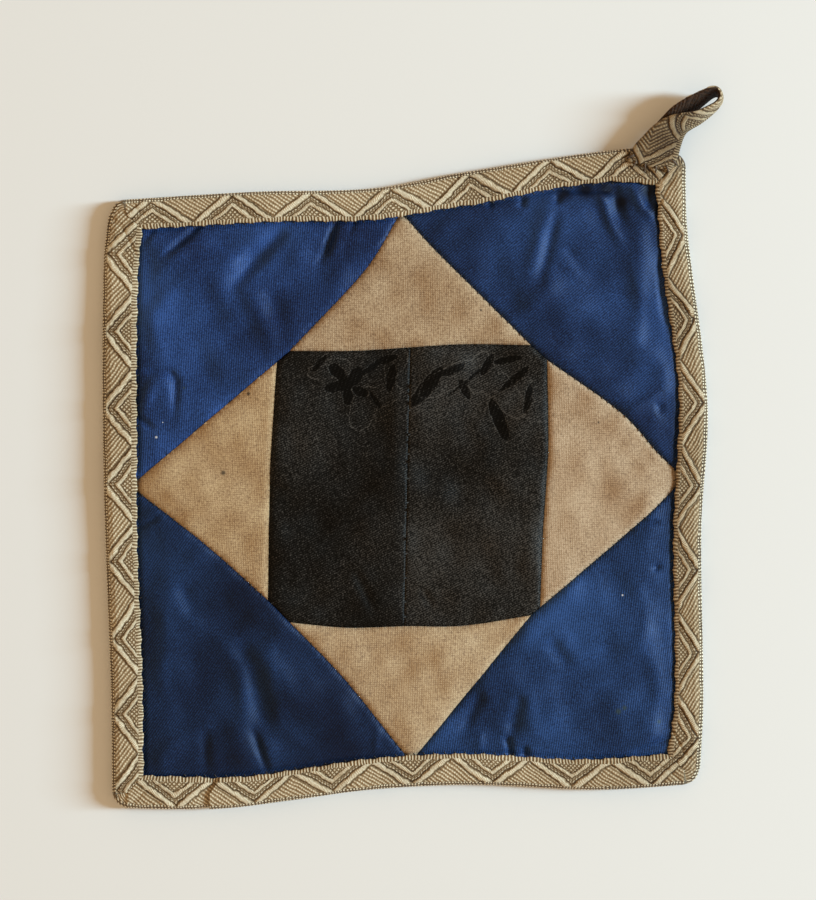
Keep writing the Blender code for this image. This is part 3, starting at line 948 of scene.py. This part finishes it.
def outer_edge(first, second):
    """The patches' edge from the tip on one side, round the pad's corner, to the tip on the next."""
    parts = []
    for side, at_tip in ((first, True), (second, False)):
        start, length, along, _ = side_frame(side)
        share = np.dot(TIPS[side] - start, along) / length
        low, high = (share, 0.988) if at_tip else (0.012, share)
        count = int((high - low) * length / 0.9)
        parts.append(side_points(side, np.linspace(low, high, count), LAYER_INSET + 0.2))
    return np.concatenate((*parts, [TIPS[second]]))


# Blue silk twill: deep blue with a fine rib and a broad soft highlight. Each corner has its own
# tint, the bottom left the darkest.
BLUE_TINTS = {
    "top_left": ("0a122c", "1b315c", "30508c"),
    "top_right": ("091129", "192e54", "2c4a80"),
    "bottom_right": ("09122a", "1a3157", "2d4d83"),
    "bottom_left": ("070d20", "122340", "213a64"),
}
CORNER_PATCHES = {
    # The sides that meet there, the seams back to the start, and the rib's angle.
    "top_left": ("left", "top", ["top_left", "-cut_tl", "-left_top"], 4),
    "top_right": ("top", "right", ["-right_top", "-cut_tr", "top_right"], 50),
    "bottom_right": ("right", "bottom", ["-bottom_right", "-cut_br", "-right_bottom"], 8),
    "bottom_left": ("bottom", "left", ["-left_bottom", "-cut_bl", "-bottom_left"], 35),
}
for corner, (first, second, seams, rib_angle) in CORNER_PATCHES.items():
    finish = material(
        f"blue_silk_twill_{corner}", lambda tree: twill_sockets(tree, rib_angle, BLUE_TINTS[corner])
    )
    outline = [outer_edge(first, second), *seams]
    front_patch(f"corner_{corner}", f"corner_patch_{corner}", outline, finish)


# ---- The edge binding --------------------------------------------------------------------------
# One length of jacquard braid folded lengthways over the pad's edge and hand sewn on both sides.
# It is mitred at the corners, and its ends overlap on the bottom side.

BRAID_PERIOD = 23.2
ZIGZAG_RUN = 1.35  # how far a zigzag runs along the braid for each mm across it
# Each side's zigzags: how many mm apart, and how far from its start one of the peaks is.
ZIGZAGS = {"top": (23.2, 58.1), "right": (24.2, 121.5), "bottom": (23.0, 129.3), "left": (22.2, 138.3)}
HALF_BRAID = 9.2
FOLD_RADIUS = 2.3
BRAID_THICK = 0.6
BRAID_TOP = 4.95
BRAID_STEP = 0.45
JOIN_SHARE = 0.836
JOIN_LAP = 3.0
# The loop's inner face takes the wrong side's dark brown too, partly as painted shade for the inside of the
# eye.
WRONG_SIDE_AND_SHADE = 20.0  # added to the braid's crossways coordinate where its wrong side shows
NECK_DARK = ((75.0, 102.5, 14.0),)  # the braid is a darker shade round the loop's neck


def zigzag(along, across):
    """The braid's woven relief in mm, from its coordinates along and across it."""
    turn = np.abs((along + BRAID_PERIOD / 2) % BRAID_PERIOD - BRAID_PERIOD / 2)
    level = across + turn / ZIGZAG_RUN
    knots = (4.4, 4.9, 5.8, 6.2, 6.9, 7.7, 8.2, 9.7, 10.2, 10.8)
    relief = np.interp(level, knots, (0.0, 0.28, 0.28, -0.1, 0.1, -0.08, 0.36, 0.36, -0.08, 0.12))
    edged = smooth((across - 1.2) / 0.8) * smooth((8.7 - across) / 0.6)
    return relief * edged + 0.08 * (1 - edged)


def braid_sockets(tree):
    place = add(tree, "UVMap", uv_map="braid")
    parts = add(tree, "SeparateXYZ", [place]).node.outputs
    object_place = add(tree, "TexCoord", out="Object")
    bent = add(tree, "TexNoise", {"Vector": object_place, "Scale": 150.0, "Detail": 3.0}, out=1)
    bent = add(tree, "SeparateXYZ", [bent]).node.outputs
    wobble = add(tree, "TexNoise", {"Vector": object_place, "Scale": 520.0, "Detail": 2.0})
    along = add(tree, "Math", [bent["X"], 2.4, parts["X"]], operation="MULTIPLY_ADD")
    bent_across = add(tree, "Math", [bent["Y"], -0.5], operation="ADD")
    raw = add(tree, "Math", [bent_across, 1.3, parts["Y"]], operation="MULTIPLY_ADD")
    wrong_side_and_shade_mask = add(tree, "Math", [raw, WRONG_SIDE_AND_SHADE - 3], operation="GREATER_THAN")
    across = add(tree, "Math", [wrong_side_and_shade_mask, -WRONG_SIDE_AND_SHADE, raw], operation="MULTIPLY_ADD")
    along = add(tree, "Math", [along, 1.2], operation="SUBTRACT")
    turn = add(tree, "Math", [along, BRAID_PERIOD / 2], operation="PINGPONG")
    level = add(tree, "Math", [turn, 1 / ZIGZAG_RUN, across], operation="MULTIPLY_ADD")
    level = add(tree, "Math", [wobble, 1.3, level], operation="MULTIPLY_ADD")
    level = add(tree, "Math", [level, 0.65], operation="SUBTRACT")

    def wave(*terms):
        """A wave from 0 to 1 over a sum of (coordinate, period in mm)."""
        total = None
        for coordinate, period in terms:
            terms_so_far = [coordinate, 2 * math.pi / period, total or 0.0]
            total = add(tree, "Math", terms_so_far, operation="MULTIPLY_ADD")
        swing = add(tree, "Math", [total], operation="SINE")
        return add(tree, "Math", [swing, 0.5, 0.5], operation="MULTIPLY_ADD")

    def choose(mask, no, yes):
        return add(tree, "Mix", {"Factor": mask, "A": no, "B": yes})

    def over(value, limit):
        return add(tree, "Math", [value, limit], operation="GREATER_THAN")

    def dots(first, second):
        """Round spots where two waves cross."""
        both = add(tree, "Math", [first, second], operation="MULTIPLY")
        return add(tree, "MapRange", {"Value": both, "From Min": 0.12, "From Max": 0.55})

    birdseye = dots(wave((along, 1.3), (across, 1.3)), wave((along, 1.3), (across, -1.3)))
    beads = dots(wave((along, 0.85)), wave((level, 0.7)))
    ribs = wave((along, 1.68), (across, 1.68 / ZIGZAG_RUN))
    rib_beads = add(tree, "Math", [wave((along, 1.0), (across, -1.34)), 0.4, 0.6], operation="MULTIPLY_ADD")
    ribs = add(tree, "Math", [ribs, rib_beads], operation="MULTIPLY")
    floats = wave((along, 0.42), (across, -0.9))
    floats = add(tree, "Math", [floats, 0.5, 0.5], operation="MULTIPLY_ADD")
    fine = choose(over(level, 4.6), birdseye, floats)
    fine = choose(over(level, 6.4), fine, beads)
    fine = choose(over(level, 7.7), fine, floats)
    fine = choose(over(level, 10.3), fine, ribs)
    bands = ramp(
        tree,
        add(tree, "Math", [level, 1 / 17.0], operation="MULTIPLY"),
        (4.1 / 17, "e8e8e8"),
        (4.4 / 17, "909090"),
        (4.9 / 17, "fcfcfc"),
        (5.7 / 17, "f0f0f0"),
        (6.1 / 17, "707070"),
        (6.4 / 17, "c0c0c0"),
        (6.8 / 17, "f0f0f0"),
        (7.3 / 17, "e8e8e8"),
        (7.7 / 17, "686868"),
        (8.3 / 17, "ffffff"),
        (9.5 / 17, "fcfcfc"),
        (10.0 / 17, "606060"),
        (10.6 / 17, "f4f4f4"),
    )
    fine = add(tree, "Math", [fine, 0.62, 0.38], operation="MULTIPLY_ADD")
    field = add(tree, "Math", [bands, fine], operation="MULTIPLY")
    selvedge = add(tree, "Math", [wave((along, 0.92)), 0.6, 0.22], operation="MULTIPLY_ADD")
    rows = dots(wave((along, 0.9)), wave((across, 0.8)))
    rows = add(tree, "Math", [rows, 0.8, 0.2], operation="MULTIPLY_ADD")
    woven_in = choose(over(across, 1.3), selvedge, field)
    woven_in = choose(over(across, 7.9), woven_in, rows)
    soiled = add(tree, "TexNoise", {"Vector": object_place, "Scale": 70.0, "Detail": 4.0})
    fuzz = add(tree, "TexNoise", {"Vector": object_place, "Scale": 1600.0, "Detail": 3.0})
    tone = add(tree, "Math", [soiled, 0.35, woven_in], operation="MULTIPLY_ADD")
    tone = add(tree, "Math", [fuzz, 0.5, tone], operation="MULTIPLY_ADD")
    shade = add(tree, "Math", [tone, 0.72], operation="MULTIPLY")
    neck = spots(tree, object_place, NECK_DARK)
    neck = add(tree, "Math", [neck, -0.4, 1.0], operation="MULTIPLY_ADD")
    shade = add(tree, "Math", [shade, neck], operation="MULTIPLY")
    across_pad = add(tree, "SeparateXYZ", [object_place])
    # The right side's braid is a tenth darker than the rest.
    dulled = add(
        tree,
        "MapRange",
        {"Value": across_pad, "From Min": 0.02, "From Max": 0.085, "To Min": 1.0, "To Max": 0.9},
    )
    shade = add(tree, "Math", [shade, dulled], operation="MULTIPLY")
    right_side = ramp(tree, shade, (0.36, "3a2a1b"), (0.54, "7d674a"), (0.76, "b19b7b"), (1.0, "ebdfc4"))
    # Dark brown of the braid's wrong side: its own colour on the binding's hidden inner layer, and partly
    # painted shade on the loop's inner face.
    wrong_side_and_painted_shade = ramp(tree, fuzz, (0.3, "1c0e04"), (0.7, "472b14"))
    both_sides = {"Factor": wrong_side_and_shade_mask, 6: right_side, 7: wrong_side_and_painted_shade}
    return {
        "Base Color": add(tree, "Mix", both_sides, out=2, data_type="RGBA"),
        "Roughness": 0.7,
        "Sheen Weight": 0.05,
        "Specular IOR Level": 0.2,
        "Normal": add(tree, "Bump", {"Strength": 1.0, "Distance": 0.00035, "Height": tone}),
    }


# Jacquard braid: cream threads raised in zigzags on a brown ground, so its grooves read dark.
jacquard_braid = material("jacquard_braid", braid_sockets)


def frame_stations():
    """Where the braid's rings stand: (side, share, corner turn or None), clockwise from its join."""
    found = []
    order = ("bottom", "left", "top", "right", "bottom")
    for number, side in enumerate(order):
        length = side_frame(side)[1]
        low = JOIN_SHARE if number == 0 else 0.0
        high = JOIN_SHARE + JOIN_LAP / length if number == 4 else 1.0
        count = int((high - low) * length / BRAID_STEP)
        found += [(side, share, None) for share in np.linspace(low, high, count)]
        if number < 4:
            found += [(side, 1.0, turn) for turn in np.linspace(0, 1, 9)[1:-1]]
    return found


def ring_point(side, share, turn, inset):
    """A ring's point at an inset, on a side or on the rounded corner after it."""
    length = side_frame(side)[1]
    radius = max(CORNER_RADIUS - inset, 0.0)
    if turn is None:
        cut = radius / length
        return side_points(side, cut + share * (1 - 2 * cut), inset)
    names = list(SIDES)
    following = names[(names.index(side) + 1) % 4]
    normals = -side_frame(side)[3], -side_frame(following)[3]
    angles = [math.atan2(n[1], n[0]) for n in normals]
    sweep = (angles[1] - angles[0] + math.pi) % (2 * math.pi) - math.pi
    angle = angles[0] + sweep * turn
    centre = inset_corner(SIDES[side][1], max(CORNER_RADIUS, inset))
    return centre + radius * np.array((math.cos(angle), math.sin(angle)))


def braid_section():
    """The folded braid across: (inset, height, crossways coordinate) round its right side."""
    found = [(HALF_BRAID - w, BRAID_TOP - 0.45 * math.exp(-w / 0.7), w) for w in np.arange(0, 6.9, 0.36)]
    for angle in np.linspace(0, math.pi, 15):
        inset = FOLD_RADIUS * (1 - math.sin(angle))
        level = 0.5 * BRAID_TOP + 0.5 * (BRAID_TOP - 0.1) * math.cos(angle)
        found.append((inset, level, HALF_BRAID - inset))
    found += [(HALF_BRAID - w, 0.06, w) for w in np.arange(6.3, -0.1, -0.9)]
    return np.array(found)


def braid_frame():
    right_side = braid_section()
    ends = np.diff(right_side[:, :2], axis=0)
    ends = np.concatenate((ends[:1], 0.5 * (ends[:-1] + ends[1:]), ends[-1:]))
    outwards = np.column_stack((ends[:, 1], -ends[:, 0]))
    outwards /= np.hypot(*outwards.T)[:, None]
    kept = [0, *range(2, len(right_side) - 1, 2), len(right_side) - 1]
    inner = right_side[kept] - np.column_stack((BRAID_THICK * outwards[kept], np.zeros(len(kept))))
    section = np.concatenate((right_side, inner[::-1]))
    normals = np.concatenate((outwards, outwards[kept][::-1]))
    count = len(section)
    shown = len(right_side)
    points, coordinates = [], []
    stations = frame_stations()
    travelled = 0.0
    total = len(stations)
    before = None
    for number, (side, share, turn) in enumerate(stations):
        start, length, along, _ = side_frame(side)
        period, peak = ZIGZAGS[side]
        middle = ring_point(side, share, turn, 3.0)
        travelled += 0.0 if before is None else float(np.hypot(*(middle - before)))
        before = middle
        tucked = 0.66 * float(smooth(1 - (travelled - JOIN_LAP) / 6.0)) if travelled < 12 else 0.0
        near_end = (total - number) * BRAID_STEP
        lifted = 0.1 * float(smooth(1 - near_end / 4.0))
        width = float(np.interp(share, *BRAID_REACH[side])) - HALF_BRAID
        sway = 0.16 * math.sin(travelled / 17.0) + 0.1 * math.sin(travelled / 6.3 + 1.2)
        drawn_in = 0.1 * math.sin(2 * math.pi * travelled / 2.9)
        drawn_in += 0.16 * math.sin(2 * math.pi * travelled / 7.7)
        for j, (inset, level, across) in enumerate(section):
            inset += drawn_in * math.exp(-across / 1.1) + width * max(1 - across / 6.9, 0.0)
            place = ring_point(side, share, turn, inset)
            coordinate = (np.dot(place - start, along) - peak) * BRAID_PERIOD / period
            rise = float(zigzag(coordinate, across)) if j < shown and level > 1.5 else 0.0
            mitre = min(share, 1 - share) * length - inset if number and turn is None else 0.0
            mitred = min(share, 1 - share) * length < 12 and inset > 1
            fold_in = 0.35 * math.exp(-((mitre / 0.7) ** 2)) if mitred else 0.0
            push = rise - tucked + lifted - fold_in * (level > 2.5)
            height = level + normals[j][1] * push + sway * smooth((level - 1.5) / 3)
            height = max(height, 0.03 if j < shown else 0.3)
            points.append((*(place + side_frame(side)[3] * normals[j][0] * push), height))
            coordinates.append((coordinate, across if j < shown else WRONG_SIDE_AND_SHADE + across))
    faces = []
    for i in range(total - 1):
        for j in range(count):
            k = (j + 1) % count
            faces.append((i * count + j, i * count + k, (i + 1) * count + k, (i + 1) * count + j))
    faces.append(tuple(range(count))[::-1])
    faces.append(tuple((total - 1) * count + j for j in range(count)))
    return points, coordinates, faces


def braid_piece(name, points, coordinates, faces):
    """A closed braid mesh with its coordinates along and across it in a map named braid."""
    build = bmesh.new()
    layer = build.loops.layers.uv.new("braid")
    vertices = [build.verts.new(np.multiply(p, MM)) for p in points]
    for face in faces:
        for loop, i in zip(build.faces.new([vertices[j] for j in face]).loops, face):
            loop[layer].uv = coordinates[i]
    bmesh.ops.remove_doubles(build, verts=build.verts, dist=0.004 * MM)
    bmesh.ops.recalc_face_normals(build, faces=build.faces)
    mesh = bpy.data.meshes.new(name)
    build.to_mesh(mesh)
    build.free()
    mesh.materials.append(jacquard_braid)
    mesh.shade_smooth()
    made = bpy.data.objects.new(name, mesh)
    bpy.context.scene.collection.objects.link(made)
    return made


binding = braid_piece("binding_braid", *braid_frame())
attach(binding, "pad")
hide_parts("edge_binding")


# ---- The hanging loop --------------------------------------------------------------------------
# The same braid, folded in half and sewn to the top right corner. Its neck lies flat on the
# binding, then the tape turns on edge round a long narrow eye and comes back under itself.

# Points along the tape: its middle (x, y, z), its width's direction, and half its width, in mm.
LOOP_PATH = [
    ((70.6, 94.6, 5.3), (-0.97, 0.22, 0.0), 6.4),
    ((72.3, 98.4, 5.9), (-0.97, 0.22, 0.0), 6.7),
    ((74.3, 102.0, 6.2), (-0.98, 0.20, 0.04), 5.8),
    ((76.3, 104.8, 6.4), (-0.95, 0.28, 0.10), 4.9),
    ((78.6, 106.6, 6.6), (-0.84, 0.42, 0.30), 4.2),
    ((81.4, 107.6, 6.7), (-0.50, 0.45, 0.68), 3.9),
    ((84.8, 108.7, 6.5), (-0.30, 0.34, 0.88), 3.7),
    ((88.2, 110.7, 6.4), (-0.20, 0.22, 0.95), 3.6),
    ((90.3, 112.4, 6.3), (-0.16, 0.12, 0.98), 3.5),
    ((91.2, 114.2, 6.3), (-0.14, 0.12, 0.98), 3.5),
    ((90.5, 115.8, 6.3), (-0.14, 0.16, 0.98), 3.5),
    ((88.7, 115.8, 6.3), (-0.16, 0.30, 0.94), 3.5),
    ((85.5, 114.0, 6.2), (-0.26, 0.44, 0.86), 3.6),
    ((82.1, 111.8, 6.0), (-0.34, 0.52, 0.78), 3.8),
    ((78.9, 109.4, 5.6), (-0.46, 0.52, 0.71), 3.9),
    ((76.6, 106.3, 4.9), (-0.64, 0.56, 0.50), 3.9),
    ((75.0, 103.8, 4.3), (-0.78, 0.52, 0.20), 3.9),
    ((74.0, 101.6, 4.0), (-0.84, 0.50, 0.05), 3.9),
]
LOOP_THICK = 1.25
OUTER_FACE = 1


def loop_tape():
    rows = curve(*[(*middle, *width, half) for middle, width, half in LOOP_PATH], step=0.4)
    middles, widths, halves = rows[:, :3], rows[:, 3:6], rows[:, 6]
    ahead = np.gradient(middles, axis=0)
    ahead /= np.linalg.norm(ahead, axis=1)[:, None]
    widths /= np.linalg.norm(widths, axis=1)[:, None]
    faces_out = np.cross(ahead, widths)
    faces_out /= np.linalg.norm(faces_out, axis=1)[:, None]
    travelled = np.concatenate(([0], np.cumsum(np.linalg.norm(np.diff(middles, axis=0), axis=1))))
    crossways = np.linspace(-1, 1, 25)
    points, coordinates = [], []
    for i, place in enumerate(middles):
        for side in (1, -1):
            for share in crossways if side == 1 else crossways[::-1]:
                across = 0.84 * (HALF_BRAID - abs(HALF_BRAID - (share + 1) * halves[i]))
                rounded = math.sqrt(max(1 - abs(share) ** 6, 0.0))
                along = 1.25 * travelled[i]
                rise = float(zigzag(along, across)) * 0.8 * rounded if side == OUTER_FACE else 0.0
                out = side * (0.5 * LOOP_THICK * rounded + rise)
                points.append(place + widths[i] * share * halves[i] + faces_out[i] * out)
                # The inner face takes the braid's dark wrong-side colour, partly as painted shade for the
                # inside of the eye.
                coordinates.append((along, across if side == OUTER_FACE else WRONG_SIDE_AND_SHADE + across))
    count = 2 * len(crossways)
    total = len(middles)
    faces = []
    for i in range(total - 1):
        for j in range(count):
            k = (j + 1) % count
            faces.append((i * count + j, i * count + k, (i + 1) * count + k, (i + 1) * count + j))
    faces.append(tuple(range(count))[::-1])
    faces.append(tuple((total - 1) * count + j for j in range(count)))
    return points, coordinates, faces, travelled[-1]


*loop_parts, loop_length = loop_tape()
loop = braid_piece("loop_tape", *loop_parts)
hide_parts("hanging_loop")
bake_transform(loop)


# ---- The sewing thread -------------------------------------------------------------------------
# Small overcast stitches of dark thread along the diamond's seams and the binding, and a few of
# brown thread that hold the loop's neck down. Each is a short bowed length that dips at its ends.


def thread_sockets(tree, colour):
    return {"Base Color": linear(colour), "Roughness": 0.6, "Sheen Weight": 0.2}


# Dark cotton thread: thin, nearly black, with a slight sheen.
dark_thread = material("dark_cotton_thread", lambda tree: thread_sockets(tree, "2a231c"))
# Brown cotton thread: a little lighter and thicker, on the loop.
brown_thread = material("brown_cotton_thread", lambda tree: thread_sockets(tree, "4a3522"))


def stitches(name, finish, runs, radius):
    """Stitches as one mesh: each run is (start, middle, end), bent smoothly and rounded."""
    points, faces = [], []
    for run in runs:
        line = curve(*run, step=0.22)
        ahead = np.gradient(line, axis=0)
        ahead /= np.linalg.norm(ahead, axis=1)[:, None]
        side = np.cross(ahead, (0.0, 0.0, 1.0))
        side /= np.linalg.norm(side, axis=1)[:, None] + 1e-9
        up = np.cross(side, ahead)
        first = len(points)
        for i, place in enumerate(line):
            for angle in np.linspace(0, 2 * math.pi, 6, endpoint=False):
                points.append(place + radius * (math.cos(angle) * side[i] + math.sin(angle) * up[i]))
        for i in range(len(line) - 1):
            for j in range(6):
                k = (j + 1) % 6
                a = first + i * 6
                faces.append((a + j, a + k, a + 6 + k, a + 6 + j))
        faces.append(tuple(first + j for j in range(6))[::-1])
        faces.append(tuple(len(points) - 6 + j for j in range(6)))
    made = new_piece(name, points, faces, finish)
    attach(made, "pad")
    return made


def overcast(lines, pitch, reach):
    runs = []
    draw = np.random.default_rng(4)
    for line in lines:
        length = np.hypot(*np.diff(line, axis=0).T).sum()
        count = int(length / pitch)
        for i in range(1, count):
            at = (i + draw.uniform(-0.12, 0.12)) / count * (len(line) - 1)
            a, b = line[int(at)], line[min(int(at) + 1, len(line) - 1)]
            along = (b - a) / (np.hypot(*(b - a)) + 1e-9)
            across = np.array((along[1], -along[0])) * reach + along * 0.35
            middle = a + (at % 1) * (b - a)
            ends = np.array((middle - across, middle, middle + across))
            heights = front_height(ends) + np.array((-0.22, 0.16, -0.22))
            runs.append(np.column_stack((ends, heights)))
    return runs


seam_names = ("top_left", "top_right", "right_top", "right_bottom", "bottom_left", "left_bottom")
seam_stitches = stitches(
    "seam_stitches",
    dark_thread,
    overcast([SEAMS[name] for name in seam_names], SEAM_STITCH, 0.55),
    0.13,
)
edge_shares = np.linspace(0.06, 0.94, 240)
edge_lines = [
    side_points(side, edge_shares, np.interp(edge_shares, *BRAID_REACH[side]) + 0.25) for side in SIDES
]
edge_stitches = stitches("edge_stitches", dark_thread, overcast(edge_lines, 2.9, 0.55), 0.12)
# Each stitch on the loop's neck: its middle's x and y in mm, and its direction in degrees.
NECK_STITCHES = (
    (65.2, 97.4, 20),
    (66.4, 95.2, 60),
    (69.4, 94.2, 85),
    (72.6, 93.6, 95),
    (76.0, 93.6, 110),
    (77.9, 95.8, 150),
)
NECK_STITCH_HALF = 1.1
neck_runs = []
for x, y, angle in NECK_STITCHES:
    turn = np.array((math.cos(math.radians(angle)), math.sin(math.radians(angle))))
    low = np.array((x, y)) - NECK_STITCH_HALF * turn
    high = np.array((x, y)) + NECK_STITCH_HALF * turn
    neck_runs.append(((*low, 4.9), (x, y, 6.2), (*high, 6.2)))
neck_stitches = stitches("neck_stitches", brown_thread, neck_runs, 0.22)


# ---- The table, the light and the camera -------------------------------------------------------
# A pale table, warm light from all round, and a cool low window to the right that throws the
# pad's shadow to the left. The camera looks straight down.

TABLE_COLOUR = "e7e7e7"
WARM_LIGHT = (0.6, 0.425, 0.25)
WINDOW_COLOUR = (0.62, 0.86, 1.0)


def table_sockets(tree):
    return {"Base Color": linear(TABLE_COLOUR), "Roughness": 0.55, "Specular IOR Level": 0.2}


# Painted table top: plain, pale and matt.
painted_table = material("painted_table_top", table_sockets)
table_mesh = bpy.data.meshes.new("table")
table_mesh.from_pydata([(-8, -8, 0), (8, -8, 0), (8, 8, 0), (-8, 8, 0)], [], [(0, 1, 2, 3)])
table_mesh.materials.append(painted_table)
table = bpy.data.objects.new("table", table_mesh)
bpy.context.scene.collection.objects.link(table)

world = bpy.data.worlds.new("warm_room")
bpy.context.scene.world = world
world.use_nodes = True
world.node_tree.nodes["Background"].inputs["Color"].default_value = (*WARM_LIGHT, 1.0)
world.node_tree.nodes["Background"].inputs["Strength"].default_value = 1.0

window_data = bpy.data.lights.new("window", "AREA")
window_data.shape = "RECTANGLE"
window_data.size = 0.3
window_data.size_y = 1.2
window_data.energy = 122
window_data.color = WINDOW_COLOUR
window = bpy.data.objects.new("window", window_data)
window.location = (2.5, 0.2, 1.14)
window.rotation_euler = (Vector((0.0, 0.01, 0.0)) - window.location).to_track_quat("-Z", "Y").to_euler()
bpy.context.scene.collection.objects.link(window)
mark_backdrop(table, window)

camera_data = bpy.data.cameras.new("camera")
camera_data.lens = 85
camera_data.sensor_width = 36
camera = bpy.data.objects.new("camera", camera_data)
camera.location = (0.00087, 0.0125, 0.6207)
bpy.context.scene.collection.objects.link(camera)
bpy.context.scene.camera = camera
bpy.context.scene.view_settings.view_transform = "Standard"


low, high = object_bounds()
